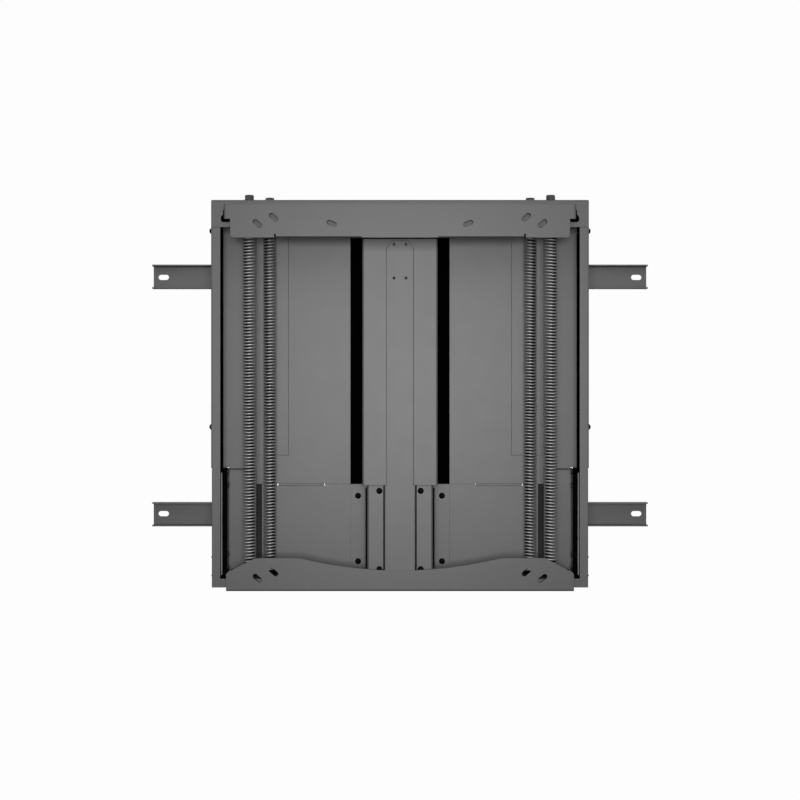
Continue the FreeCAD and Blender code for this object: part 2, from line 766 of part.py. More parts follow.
def lock_hole(side, s):
    """Cutters for one hook-shaped hole: a level arm, an elbow at its outer end and a neck that goes up."""
    y = f"{BOX_FRONT} + box_sheet + {OVER}"
    depth = f"box_sheet + {OVER} * 2"
    outer = f"({TOP_BAR_EAR} + lock_arm_past_ear)"
    low = f"({CAP_FLOOR} + lock_floor)"
    arm_place = (f"{s}({outer} - lock_arm_length / 2)", y, f"{low} + lock_arm_height / 2")
    arm = slot_cutter(f"lock_arm_{side}", arm_place, "lock_arm_length", "lock_arm_height", depth)
    elbow_place = (f"{s}({outer} - lock_elbow)", y, f"{low} + lock_elbow + lock_elbow_rise")
    elbow = rod(f"lock_elbow_{side}", elbow_place, "lock_elbow", depth, "-y")
    neck_outer = f"({outer} - lock_elbow + lock_neck_offset)"
    neck_top = f"{CAP_FLOOR} + lock_neck_top - lock_neck_width / 2"
    neck_x = across(s, f"{neck_outer} - lock_neck_width", neck_outer)
    neck = block(f"lock_neck_{side}", neck_x, (f"{y} - ({depth})", y), (f"{low} + lock_elbow", neck_top))
    end_place = (f"{s}({neck_outer} - lock_neck_width / 2)", y, neck_top)
    end = rod(f"lock_end_{side}", end_place, "lock_neck_width / 2", depth, "-y")
    return [arm, elbow, neck, end]


def lock_plates():
    """Black plates on the side walls, behind the level arms of the lock holes."""
    plates = []
    front = f"{BOX_FRONT} + box_sheet + lock_plate_gap"
    low = f"{CAP_FLOOR} + lock_floor"
    for side, s in SIDES:
        inner = f"{TOP_BAR_EAR} + lock_arm_past_ear - lock_arm_length - lock_plate_margin"
        depth = (front, f"{front} + lock_plate_sheet")
        height = (f"{low} - lock_plate_margin", f"{low} + lock_arm_height + lock_plate_margin")
        plates.append(block(f"lock_plate_{side}", across(s, inner, BOX_WALL), depth, height))
    add_node("lock_plates", group("lock_plates", plates))


def bottom_cross_member():
    """Bottom of the housing: a tray with a front lip between the side channels."""
    inside = f"{BOX_FRONT} + box_sheet"
    lip = block("cross_lip", centred(FLANGE_EDGE), (BOX_FRONT, inside), (BOX_FLOOR, CROSS_TOP))
    span = (inside, f"{BACK_FACE} - box_sheet")
    tray = block("cross_tray", centred(f"{BOX_WALL} - bend_radius"), span, (BOX_FLOOR, INSIDE_FLOOR))
    add_node("bottom_cross_member", fuse("bottom_cross_member", [lip, tray]))


def outer_plates():
    """Thin plates on the outside, with dome screws, and the rivets below them."""
    for side, s in SIDES:
        plate = block(
            f"outer_sheet_{side}",
            across(s, BOX_SIDE, f"{BOX_SIDE} + outer_plate_sheet"),
            (f"{BOX_FRONT} + outer_plate_margin", f"{BACK_REAR} - outer_plate_margin"),
            (OUTER_PLATE_FLOOR, OUTER_PLATE_TOP),
        )
        outward = "-x" if s else "x"
        inward = opposite(outward)
        tools = holes(f"outer_hole_{side}", side_screws(s), inward, "dome_shank", "outer_plate_sheet")
        add_node(f"outer_plate_{side}", cut(f"outer_plate_{side}", plate, tools))
        head = ("side_screw_diameter", "side_screw_height", "side_screw_rim", "dome_shank")
        small = ("side_rivet_diameter", "side_rivet_height", "rivet_rim", "rivet_shank")
        pieces = []
        length = "outer_plate_sheet + box_sheet"
        for number, place in enumerate(side_screws(s)):
            pieces.append(rivet(f"side_screw_{side}{number}", place, outward, *head, length))
        for number, place in enumerate(side_rivets(s)):
            pieces.append(rivet(f"side_rivet_{side}{number}", place, outward, *small, "box_sheet"))
        add_node(f"side_screws_{side}", group(f"side_screws_{side}", pieces))


def side_panels():
    """Inner panels behind the springs, with flanges to the back panel and a raised field in a groove."""
    for side, s in SIDES:
        edge_out = f"({BOX_WALL} - panel_side_gap)"
        edge_in = "(well_width / 2)"
        section = [
            (f"{s}{edge_in}", PANEL_FACE),
            (f"{s}{edge_out}", PANEL_FACE),
            (f"{s}{edge_out}", BACK_FACE),
            (f"{s}({edge_out} - panel_sheet)", BACK_FACE),
            (f"{s}({edge_out} - panel_sheet)", PANEL_REAR),
            (f"{s}({edge_in} + panel_sheet)", PANEL_REAR),
            (f"{s}({edge_in} + panel_sheet)", BACK_FACE),
            (f"{s}{edge_in}", BACK_FACE),
        ]
        bends = [((0, 1), "box_corner"), ((4, 5), "bend_radius")]
        height = f"{INSIDE_TOP} - {INSIDE_FLOOR}"
        panel = outline_pad(f"panel_section_{side}", "XY_Plane", section, INSIDE_FLOOR, height, bends)
        field_outer = "field_inner + field_width"
        field_low = f"{BOX_FLOOR} + field_rise"
        field_high = f"{BOX_TOP} - field_drop"
        recess = block(
            f"panel_recess_{side}",
            across(s, "field_inner - groove_width", f"{field_outer} + groove_width"),
            (f"{PANEL_FACE} - {OVER}", f"{PANEL_FACE} + field_step"),
            (f"{field_low} - groove_width", f"{field_high} + groove_width"),
        )
        field = block(
            f"panel_field_{side}",
            across(s, "field_inner", field_outer),
            (f"{PANEL_FACE} - field_step", f"{PANEL_FACE} + field_step"),
            (field_low, field_high),
        )
        grooved = cut(f"panel_grooved_{side}", panel, [recess])
        add_node(f"side_panel_{side}", fuse(f"side_panel_{side}", [grooved, field]))


def centre_track():
    """Black liner of the well behind the mast."""
    half = "(well_width / 2)"
    floor = f"{BACK_FACE} - track_sheet"
    lip = f"{BACK_FACE} - track_lip"
    section = [
        (f"-{half}", BACK_FACE),
        (half, BACK_FACE),
        (half, lip),
        (f"{half} - track_sheet", lip),
        (f"{half} - track_sheet", floor),
        (f"-({half} - track_sheet)", floor),
        (f"-({half} - track_sheet)", lip),
        (f"-{half}", lip),
    ]
    height = f"{INSIDE_TOP} - {INSIDE_FLOOR}"
    add_node("centre_track", outline_pad("centre_track", "XY_Plane", section, INSIDE_FLOOR, height))


def guides():
    """Grooved rails inside the side channels, and the stops at both ends of the travel."""
    stops = []
    bumpers = []
    for side, s in SIDES:
        rail = block(
            f"guide_bar_{side}",
            across(s, GUIDE_FACE, BOX_WALL),
            (f"{GUIDE_Y} - guide_width / 2", f"{GUIDE_Y} + guide_width / 2"),
            (INSIDE_FLOOR, GUIDE_TOP),
        )
        half = "(tongue_width / 2 + tongue_side_gap)"
        groove = block(
            f"guide_groove_{side}",
            across(s, f"{GUIDE_FACE} - {OVER}", f"{GUIDE_FACE} + groove_depth"),
            (f"{GUIDE_Y} - {half}", f"{GUIDE_Y} + {half}"),
            (BOX_FLOOR, BOX_TOP),
        )
        add_node(f"guide_rail_{side}", cut(f"guide_rail_{side}", rail, [groove]))
        stop_x = across(s, GUIDE_FACE, f"{GUIDE_FACE} + groove_depth")
        stop_y = (f"{GUIDE_Y} - {half}", f"{GUIDE_Y} + {half}")
        stops.append(block(f"upper_stop_{side}", stop_x, stop_y, (STOP_FLOOR, GUIDE_TOP)))
        place = (f"{s}({WING_EDGE} - bumper_inset)", GUIDE_Y, INSIDE_FLOOR)
        height = f"{SHELF_FLOOR} - stop_gap - {INSIDE_FLOOR}"
        bumpers.append(rod(f"bumper_{side}", place, "bumper_radius", height))
    add_node("upper_stops", group("upper_stops", stops))
    add_node("lower_bumpers", group("lower_bumpers", bumpers))


def adjusters():
    """Washers, adjuster bolts and threaded tension plugs, one set for each spring."""
    washers = []
    bore_radius = "adjuster_size / 2 + adjuster_gap"
    for name, x, y in SPRINGS:
        ring = rod(f"washer_ring_{name}", (x, y, BOX_TOP), "washer_radius", "washer_height")
        hole = rod(f"washer_hole_{name}", (x, y, BOX_TOP), "adjuster_hole / 2", "washer_height")
        washers.append(cut(f"washer_{name}", ring, [hole]))

        seat = f"({WASHER_TOP} + seat_gap)"
        hex_head = hexagon(f"adjuster_hex_{name}", (x, y, seat), "adjuster_flats", "adjuster_head_height")
        chamfer = doc.addObject("Part::Cone", f"adjuster_chamfer_{name}")
        bind(chamfer, "Radius1", "adjuster_crown + adjuster_head_height * sqrt(3)")
        bind(chamfer, "Radius2", "adjuster_crown")
        bind(chamfer, "Height", "adjuster_head_height")
        bind_place(chamfer, (x, y, seat))
        head = common(f"adjuster_head_{name}", [hex_head, chamfer])
        length = f"{seat} - {SPIGOT_FLOOR} + adjuster_tail"
        shank = rod(f"adjuster_shank_{name}", (x, y, seat), "adjuster_size / 2", length, "-z")
        add_node(f"adjuster_bolt_{name}", fuse(f"adjuster_bolt_{name}", [head, shank]))

        collar = rod(f"plug_collar_{name}", (x, y, PLUG_FLOOR), "collar_radius", "collar_height")
        spigot = rod(f"plug_spigot_{name}", (x, y, PLUG_FLOOR), SPIGOT_RADIUS, "spigot_height", "-z")
        start = (x, y, f"{SPIGOT_FLOOR} - {OVER}")
        through = f"spigot_height + collar_height + {OVER} * 2"
        bore = rod(f"plug_bore_{name}", start, bore_radius, through)
        plug = fuse(f"plug_{name}", [collar, spigot])
        add_node(f"tension_plug_{name}", cut(f"tension_plug_{name}", plug, [bore]))
    add_node("adjuster_washers", group("adjuster_washers", washers))


def lower_plugs():
    """Plugs that hold the springs' lower ends, and the bolts that fix them to the shelves from below."""
    plugs = []
    bolts = []
    for name, x, y in SPRINGS:
        foot = (x, y, SHELF_TOP)
        collar = rod(f"lower_collar_{name}", foot, "collar_radius", "collar_height")
        spigot = rod(f"lower_spigot_{name}", foot, SPIGOT_RADIUS, "collar_height + spigot_height")
        bore_length = "plug_bolt_depth + hole_gap"
        bore = rod(f"lower_bore_{name}", foot, "plug_bolt_size / 2 + hole_gap", bore_length)
        plugs.append(cut(f"lower_plug_{name}", fuse(f"lower_body_{name}", [collar, spigot]), [bore]))
        seat = (x, y, SHELF_FLOOR)
        head = rod(f"plug_bolt_head_{name}", seat, "plug_bolt_head / 2", "plug_bolt_head_height", "-z")
        length = "shelf_sheet + plug_bolt_depth"
        shank = rod(f"plug_bolt_shank_{name}", seat, "plug_bolt_size / 2", length)
        bolts.append(fuse(f"plug_bolt_{name}", [head, shank]))
    add_node("lower_plugs", group("lower_plugs", plugs))
    add_node("lower_plug_bolts", group("lower_plug_bolts", bolts))


def tangent_arc(start, direction, end, backwards=False):
    """The arc of under a half circle that leaves start in a direction and ends at end."""
    chord = end - start
    side = chord - direction * chord.dot(direction)
    radius = chord.dot(chord) / (2 * side.Length)
    centre = start + side.normalize() * radius
    middle = centre + ((start + end) * 0.5 - centre).normalize() * radius
    points = (end, middle, start) if backwards else (start, middle, end)
    return Part.Arc(*points)


def biarc(start, start_direction, end, end_direction):
    """Two arcs that join two points and meet their directions."""
    gap = end - start
    a = 2 * (1 - start_direction.dot(end_direction))
    b = gap.dot(start_direction + end_direction)
    reach = (math.sqrt(b * b + a * gap.dot(gap)) - b) / a
    middle = (start + start_direction * reach + end - end_direction * reach) * 0.5
    return [tangent_arc(start, start_direction, middle), tangent_arc(end, end_direction * -1, middle, True)]


def spring_path(x, y):
    """The centre line of a drawn-out coil spring: straight ends square to the collars, bends and curls."""
    wire = value("spring_wire")
    radius = value("(spring_diameter - spring_wire) / 2")
    curls = round(value("spring_curls"))
    bend = value("spring_end_bend")
    low = value(LOWER_COLLAR_TOP)
    high = value(PLUG_FLOOR)
    centre = FreeCAD.Vector(value(x), value(y), 0)
    up = FreeCAD.Vector(0, 0, 1)

    # The slope and the height that the curls fill depend on each other and settle in a few rounds
    slope = 0.0
    for _ in range(SLOPE_ROUNDS):
        end_height = wire + bend * math.cos(slope)
        coil_height = high - low - 2 * end_height
        slope = math.atan2(coil_height / curls, 2 * math.pi * radius)

    def flat(turn):
        angle = 2 * math.pi * turn
        return FreeCAD.Vector(-math.sin(angle), math.cos(angle), 0)

    def point(turn):
        angle = 2 * math.pi * turn
        height = low + end_height + coil_height * turn / curls
        return centre + FreeCAD.Vector(radius * math.cos(angle), radius * math.sin(angle), height)

    def heading(turn):
        return flat(turn) * math.cos(slope) + up * math.sin(slope)

    run_out = bend * (1 - math.sin(slope))
    foot = point(0) - flat(0) * run_out
    foot.z = low
    head = point(curls) + flat(curls) * run_out
    head.z = high
    pieces = [Part.LineSegment(foot, foot + up * wire), tangent_arc(foot + up * wire, up, point(0))]
    for half_turn in range(curls * 2):
        first = half_turn / 2
        last = first + 0.5
        pieces += biarc(point(first), heading(first), point(last), heading(last))
    pieces.append(tangent_arc(head - up * wire, up * -1, point(curls), True))
    pieces.append(Part.LineSegment(head - up * wire, head))
    return Part.Wire([piece.toShape() for piece in pieces])


def least_gap(path, wire):
    """The least space between stretches of the wire that aren't neighbours along it, measured on points."""
    points = path.discretize(Number=int(path.Length / wire))
    skip = math.ceil(2 * math.pi)
    least = math.inf
    for number, spot in enumerate(points):
        for other in points[number + skip :]:
            if abs(other.z - spot.z) < least:
                least = min(least, (other - spot).Length)
    return least - wire


def springs():
    """The four springs between the tension plugs and the lower plugs."""
    wire = value("spring_wire")
    for name, x, y in SPRINGS:
        path = spring_path(x, y)
        ends = path.discretize(Number=2)
        section = Part.Wire([Part.Circle(ends[0], FreeCAD.Vector(0, 0, 1), wire / 2).toShape()])
        sweep = Part.BRepOffsetAPI.MakePipeShell(path)
        sweep.add(section)
        sweep.build()
        sweep.makeSolid()
        spring = doc.addObject("Part::Feature", f"spring_{name}")
        spring.Shape = sweep.shape()
        add_node(f"spring_{name}", spring)
        share = spring.Shape.Volume / (path.Length * math.pi * wire * wire / 4)
        gap = least_gap(path, wire)
        print(f"spring_{name}: volume / (section x length) {share:.4f}, least gap {gap:.2f} mm")


def bracket_slit(name, s, y):
    """Cutter for the narrow slit beside a bracket's web."""
    inner = f"{BRACKET_WEB} + bracket_slit_gap"
    low = f"{SHELF_TOP} + bracket_slit_margin"
    high = f"{PLATE_TOP} - bracket_slit_margin"
    return block(f"slit_{name}", across(s, inner, f"{inner} + bracket_slit_width"), y, (low, high))


def carriage_plate():
    """Wide lower plate with a slot beside each raised wing. The wings' top edges lean back."""
    wing_top = f"({WING_TOP} - wing_lip_height)"
    outline = [
        (f"-{WING_EDGE}", SHELF_TOP),
        (f"-{WING_EDGE}", wing_top),
        (f"-{WING_STEP}", wing_top),
        (f"-{WING_STEP}", PLATE_TOP),
        (WING_STEP, PLATE_TOP),
        (WING_STEP, wing_top),
        (WING_EDGE, wing_top),
        (WING_EDGE, SHELF_TOP),
    ]
    plate = outline_pad("plate_outline", "XZ_Plane", outline, PLATE_REAR, "plate_sheet")
    lip_section = [
        (PLATE_FACE, wing_top),
        (f"{PLATE_FACE} + wing_lip_reach", WING_TOP),
        (f"{PLATE_FACE} + wing_lip_reach + wing_lip_edge", WING_TOP),
        (PLATE_REAR, wing_top),
    ]
    pieces = [plate]
    through = (f"{PLATE_FACE} - {OVER}", f"{PLATE_REAR} + {OVER}")
    tools = []
    for side, s in SIDES:
        slot_x = across(s, f"{WING_STEP} - wing_slot_width", WING_STEP)
        slot_z = (f"{SHELF_TOP} + wing_slot_rise", f"{PLATE_TOP} + {OVER}")
        tools.append(block(f"wing_slot_{side}", slot_x, through, slot_z))
        start = WING_STEP if s == "" else f"-{WING_EDGE}"
        pieces.append(outline_pad(f"wing_lip_{side}", "YZ_Plane", lip_section, start, "wing_width"))
        tools.append(bracket_slit(f"plate_{side}", s, through))
        places = [(x, PLATE_FACE, z) for x, _, z in strip_screws(s)]
        tools += holes(f"plate_hole_{side}", places, "y", "dome_shank", "plate_sheet")
    add_node("carriage_plate", cut("carriage_plate", fuse("plate_and_lips", pieces), tools))


def glide_strips():
    """Dark strips behind the plate's slots. They keep the plate off the inner panels."""
    strips = []
    for side, s in SIDES:
        inner = f"{WING_STEP} - wing_slot_width - glide_margin"
        strip_x = across(s, inner, f"{WING_STEP} + glide_margin")
        strip_z = (f"{SHELF_TOP} + wing_slot_rise - glide_margin", PLATE_TOP)
        strip_y = (PLATE_REAR, f"{PLATE_REAR} + glide_sheet")
        strips.append(block(f"glide_strip_{side}", strip_x, strip_y, strip_z))
    add_node("glide_strips", group("glide_strips", strips))


def catch_bars():
    """Thin bars along the plate's top edge, upright pins at their ends and a level pin on each flange."""
    bars = []
    pins = []
    inner = f"{BRACKET_OUTER} + catch_inner_gap"
    outer = f"{WING_STEP} - wing_slot_width - catch_outer_gap"
    floor = f"{PLATE_TOP} + catch_past_edge - catch_height"
    height = (floor, f"{PLATE_TOP} + catch_past_edge")
    depth = (f"{PLATE_FACE} - catch_sheet", PLATE_FACE)
    for side, s in SIDES:
        bars.append(block(f"catch_bar_{side}", across(s, inner, outer), depth, height))
        for end, edge, step in (("inner", inner, "-"), ("outer", outer, "+")):
            place = (f"{s}({edge} {step} catch_pin_size / 2)", f"{PLATE_FACE} - catch_pin_size / 2", floor)
            pins.append(rod(f"catch_pin_{end}_{side}", place, "catch_pin_size / 2", "catch_height"))
        middle = f"({WING_EDGE} + wing_flange_sheet / 2)"
        start = (
            f"{s}({middle} - corner_pin_length / 2)",
            f"{PLATE_FACE} - corner_pin_size / 2",
            f"{WING_TOP} + corner_pin_size / 2",
        )
        outward = "-x" if s else "x"
        pins.append(rod(f"corner_pin_{side}", start, "corner_pin_size / 2", "corner_pin_length", outward))
    add_node("catch_bars", group("catch_bars", bars))
    add_node("catch_pins", group("catch_pins", pins))


def sliders():
    """Side flanges of the plate with the sliders, tongues and their screws."""
    for side, s in SIDES:
        inward = "x" if s else "-x"
        outward = opposite(inward)
        flange = block(
            f"flange_sheet_{side}",
            across(s, WING_EDGE, SLIDER_INNER),
            (f"{PLATE_FACE} - wing_flange_reach", PLATE_REAR),
            (SHELF_TOP, WING_TOP),
        )
        tools = holes(f"flange_hole_{side}", slider_screws(s), outward, "dome_shank", "wing_flange_sheet")
        add_node(f"wing_flange_{side}", cut(f"wing_flange_{side}", flange, tools))

        height = (SLIDER_FLOOR, SLIDER_TOP)
        front = f"({GUIDE_Y} - slider_width / 2)"
        depth = (front, f"{GUIDE_Y} + slider_width / 2")
        main = block(f"slider_main_{side}", across(s, SLIDER_INNER, SLIDER_OUTER), depth, height)
        lip_x = across(s, f"{SLIDER_INNER} - slider_lip_reach", SLIDER_INNER)
        lip = block(f"slider_lip_{side}", lip_x, (front, f"{front} + slider_lip"), height)
        body = fuse(f"slider_body_{side}", [main, lip])
        faces = [(f"{s}{SLIDER_INNER}", y, z) for _, y, z in slider_screws(s)]
        bore_depth = "slider_screw_length - wing_flange_sheet"
        tools = holes(f"slider_hole_{side}", faces, outward, "dome_shank", bore_depth)
        add_node(f"slide_block_{side}", cut(f"slide_block_{side}", body, tools))

        tongue = block(
            f"tongue_{side}",
            across(s, SLIDER_OUTER, f"{GUIDE_FACE} + groove_depth - tongue_end_gap"),
            (f"{GUIDE_Y} - tongue_width / 2", f"{GUIDE_Y} + tongue_width / 2"),
            (f"{TONGUE_TOP} - tongue_height", TONGUE_TOP),
        )
        add_node(f"slide_tongue_{side}", tongue)
        screws = []
        for number, place in enumerate(slider_screws(s)):
            screws.append(dome_screw(f"slide_screw_{side}{number}", place, inward, "slider_screw_length"))
        add_node(f"slide_screws_{side}", group(f"slide_screws_{side}", screws))


def mast_brackets():
    """Brackets with a strip on the plate, a web and a front lip that carries the mast."""
    for side, s in SIDES:
        lip_rear = f"({BRACKET_FACE} + bracket_sheet)"
        section = [
            (f"{s}{BRACKET_INNER}", BRACKET_FACE),
            (f"{s}{BRACKET_WEB}", BRACKET_FACE),
            (f"{s}{BRACKET_WEB}", STRIP_FACE),
            (f"{s}{BRACKET_OUTER}", STRIP_FACE),
            (f"{s}{BRACKET_OUTER}", PLATE_FACE),
            (f"{s}({BRACKET_WEB} - bracket_sheet)", PLATE_FACE),
            (f"{s}({BRACKET_WEB} - bracket_sheet)", lip_rear),
            (f"{s}{BRACKET_INNER}", lip_rear),
        ]
        bends = [((1, 5), "bend_radius + bracket_sheet"), ((2, 6), "bend_radius")]
        height = f"{WING_TOP} - {SHELF_TOP}"
        bracket = outline_pad(f"bracket_section_{side}", "XY_Plane", section, SHELF_TOP, height, bends)
        through = (f"{STRIP_FACE} - {OVER}", f"{PLATE_FACE} + {OVER}")
        beside = across(s, BRACKET_WEB, f"{BRACKET_OUTER} + {OVER}")
        tools = [block(f"bracket_trim_{side}", beside, through, (PLATE_TOP, f"{WING_TOP} + {OVER}"))]
        tools.append(bracket_slit(f"bracket_{side}", s, through))
        tools += holes(f"strip_hole_{side}", strip_screws(s), "y", "dome_shank", "bracket_sheet")
        tools += holes(f"web_hole_{side}", web_screws(s), "y", "dome_shank", "bracket_sheet")
        add_node(f"mast_bracket_{side}", cut(f"mast_bracket_{side}", bracket, tools))


def mast():
    """Wide column in front of the housing, open to the rear."""
    half = "(mast_width / 2)"
    inner = f"({half} - mast_sheet)"
    inside = f"{MAST_FACE} + mast_sheet"
    section = [
        (f"-{half}", MAST_REAR),
        (f"-{half}", MAST_FACE),
        (half, MAST_FACE),
        (half, MAST_REAR),
        (inner, MAST_REAR),
        (inner, inside),
        (f"-{inner}", inside),
        (f"-{inner}", MAST_REAR),
    ]
    bends = [((1, 2), "bend_radius + mast_sheet"), ((5, 6), "bend_radius")]
    column = outline_pad("mast_section", "XY_Plane", section, MAST_FLOOR, f"{MAST_TOP} - {MAST_FLOOR}", bends)
    faces = [(x, MAST_FACE, z) for x, _, z in STRAP_RIVETS]
    add_node("mast", cut("mast", column, holes("mast_hole", faces, "y", "rivet_shank", "mast_sheet")))


def strap():
    """Narrow strip on the mast, wider below the mast's foot and chamfered at its top."""
    outline = [
        (f"-{STRAP_FOOT}", SHELF_TOP),
        (f"-{STRAP_FOOT}", MAST_FLOOR),
        (f"-{STRAP_SIDE}", MAST_FLOOR),
        (f"-{STRAP_SIDE}", f"{STRAP_TOP} - strap_chamfer_height"),
        (f"-({STRAP_SIDE} - strap_chamfer_width)", STRAP_TOP),
        (f"{STRAP_SIDE} - strap_chamfer_width", STRAP_TOP),
        (STRAP_SIDE, f"{STRAP_TOP} - strap_chamfer_height"),
        (STRAP_SIDE, MAST_FLOOR),
        (STRAP_FOOT, MAST_FLOOR),
        (STRAP_FOOT, SHELF_TOP),
    ]
    strip = outline_pad("strap_outline", "XZ_Plane", outline, MAST_FACE, "strap_sheet")
    tools = holes("strap_hole", STRAP_RIVETS, "y", "rivet_shank", "strap_sheet")
    add_node("strap", cut("strap", strip, tools))
    head = ("strap_rivet_diameter", "strap_rivet_height", "rivet_rim", "rivet_shank")
    rivets = []
    for number, place in enumerate(STRAP_RIVETS):
        rivets.append(rivet(f"strap_rivet{number}", place, "-y", *head, "strap_sheet + mast_sheet"))
    add_node("strap_rivets", group("strap_rivets", rivets))


def mast_fastening():
    """Head plate behind the top bar, spacers between brackets, mast and bottom bar, and the dome screws."""
    head_x = centred("head_plate_width / 2")
    head_z = (f"{TOP_BAR_FLOOR} + head_plate_rise", MAST_TOP)
    add_node("mast_head_plate", block("head_plate", head_x, (BAR_REAR, MAST_FACE), head_z))
    spacers = []
    screws = []
    for side, s in SIDES:
        inner = f"{BRACKET_INNER} + spacer_offset"
        x = across(s, inner, f"{inner} + spacer_width")
        low = f"{MAST_FLOOR} + spacer_rise"
        upper_y = (f"{MAST_FACE} + mast_sheet", BRACKET_FACE)
        spacers.append(block(f"mast_spacer_{side}", x, upper_y, (low, f"{low} + spacer_height")))
        foot_z = (SHELF_TOP, f"{SHELF_TOP} + foot_spacer_height")
        spacers.append(block(f"foot_spacer_{side}", x, (BAR_REAR, BRACKET_FACE), foot_z))
        for number, place in enumerate(strip_screws(s) + web_screws(s)):
            screws.append(dome_screw(f"carriage_screw_{side}{number}", place, "-y"))
    add_node("mast_spacers", group("mast_spacers", spacers))
    add_node("carriage_screws", group("carriage_screws", screws))


def spring_shelves():
    """Shelves behind the bottom bar that carry the lower plugs, joined to the plate and the bar."""
    for side, s in SIDES:
        sheet_z = (SHELF_FLOOR, SHELF_TOP)
        arm_inner = f"{SHELF_EDGE} - shelf_arm_width"
        arm_x = across(s, arm_inner, SHELF_EDGE)
        main_x = across(s, f"{INNER_SPRING} - shelf_past_spring", SHELF_EDGE)
        leg_y = (BAR_REAR, f"{BAR_REAR} + shelf_sheet")
        back_y = (f"{PLATE_FACE} - shelf_sheet", PLATE_FACE)
        back_x = across(s, f"{arm_inner} + shelf_sheet", SHELF_EDGE)
        pieces = [
            block(f"shelf_main_{side}", main_x, (MAST_REAR, PLATE_REAR), sheet_z),
            block(f"shelf_arm_{side}", arm_x, (BAR_REAR, MAST_REAR), sheet_z),
            block(f"shelf_leg_{side}", arm_x, leg_y, (SHELF_FLOOR, f"{SHELF_TOP} + shelf_leg_rise")),
            block(f"shelf_back_{side}", back_x, back_y, (SHELF_FLOOR, f"{SHELF_TOP} + shelf_back_rise")),
        ]
        own = [(x, y, SHELF_FLOOR) for name, x, y in SPRINGS if name.endswith(side)]
        tools = holes(f"shelf_hole_{side}", own, "z", "plug_bolt_size", "shelf_sheet")
        add_node(f"spring_shelf_{side}", cut(f"spring_shelf_{side}", fuse(f"shelf_{side}", pieces), tools))


def bar_flange(name, floor, x):
    """Lower part of a display bar: a strip of its face and the flange that is bent back from it."""
    root = f"{floor} + bar_flange_root"
    section = [
        (BAR_FACE, root),
        (BAR_FACE, floor),
        (FLANGE_REAR, floor),
        (FLANGE_REAR, f"{floor} + bar_sheet"),
        (BAR_REAR, f"{floor} + bar_sheet"),
        (BAR_REAR, root),
    ]
    bends = [((1,), "bar_bend + bar_sheet"), ((4,), "bar_bend")]
    return outline_pad(name, "YZ_Plane", section, x[0], f"({x[1]}) - ({x[0]})", bends)


def bar_slot(name, s, distance, z, slant):
    """A slanted slot of a display bar, lower towards the middle."""
    turn = value(slant) if s else -value(slant)
    depth = f"bar_sheet + {OVER} * 2"
    place = (f"{s}{distance}", f"{BAR_REAR} + {OVER}", z)
    return slot_cutter(name, place, "display_slot_length", "display_slot_width", depth, turn)


def top_bar():
    """Upper display bar: ears bent back at its ends, flanges bent back below, slots and relief notches.

    The flanges stop beside the mast, which passes behind the bar.
    """
    outline = [
        (f"-{TOP_BAR_END}", TOP_BAR_FLOOR),
        (f"-{TOP_BAR_END}", TOP_BAR_TOP),
        (TOP_BAR_END, TOP_BAR_TOP),
        (TOP_BAR_END, TOP_BAR_FLOOR),
    ]
    face = outline_pad("top_face", "XZ_Plane", outline, BAR_REAR, "bar_sheet", [((0, 3), "top_bar_corner")])
    sheet_y = (f"{BAR_FACE} - {OVER}", f"{BAR_REAR} + {OVER}")
    room_z = (f"{TOP_BAR_FLOOR} - {OVER}", f"{TOP_BAR_FLOOR} + bar_flange_root")
    rooms = []
    flanges = []
    for side, s in SIDES:
        flange_x = across(s, FLANGE_NOTCH, FLANGE_END)
        rooms.append(block(f"top_flange_room_{side}", flange_x, sheet_y, room_z))
        flanges.append(bar_flange(f"top_flange_{side}", TOP_BAR_FLOOR, flange_x))
    pieces = [cut("top_face_open", face, rooms), *flanges]
    tools = []
    for side, s in SIDES:
        inner = f"({TOP_BAR_EAR} - bar_sheet)"
        section = [
            (f"{s}{TOP_BAR_END}", BAR_FACE),
            (f"{s}{TOP_BAR_EAR}", BAR_FACE),
            (f"{s}{TOP_BAR_EAR}", FLANGE_REAR),
            (f"{s}{inner}", FLANGE_REAR),
            (f"{s}{inner}", BAR_REAR),
            (f"{s}{TOP_BAR_END}", BAR_REAR),
        ]
        bends = [((1,), "bar_bend + bar_sheet"), ((4,), "bar_bend")]
        low = f"{TOP_BAR_TOP} - ear_height"
        pieces.append(outline_pad(f"ear_{side}", "XY_Plane", section, low, "ear_height", bends))
        rise = f"{TOP_BAR_FLOOR} + top_slot_rise"
        tools.append(bar_slot(f"top_slot_a_{side}", s, DISPLAY_SLOT, rise, "display_slot_slant"))
        inner_slot = f"({DISPLAY_SLOT} - display_slot_pitch)"
        inner_rise = f"{rise} + display_slot_step"
        tools.append(bar_slot(f"top_slot_b_{side}", s, inner_slot, inner_rise, "display_slot_slant"))
        tools.append(bar_slot(f"top_slot_c_{side}", s, "middle_slot_place", rise, "middle_slot_slant"))
        relief_x = across(s, FLANGE_END, f"{FLANGE_END} + relief_width")
        relief_z = (f"{TOP_BAR_FLOOR} - {OVER}", f"{TOP_BAR_FLOOR} + relief_height")
        tools.append(block(f"relief_{side}", relief_x, sheet_y, relief_z))
    add_node("top_bar", cut("top_bar", fuse("top_bar_body", pieces), tools))


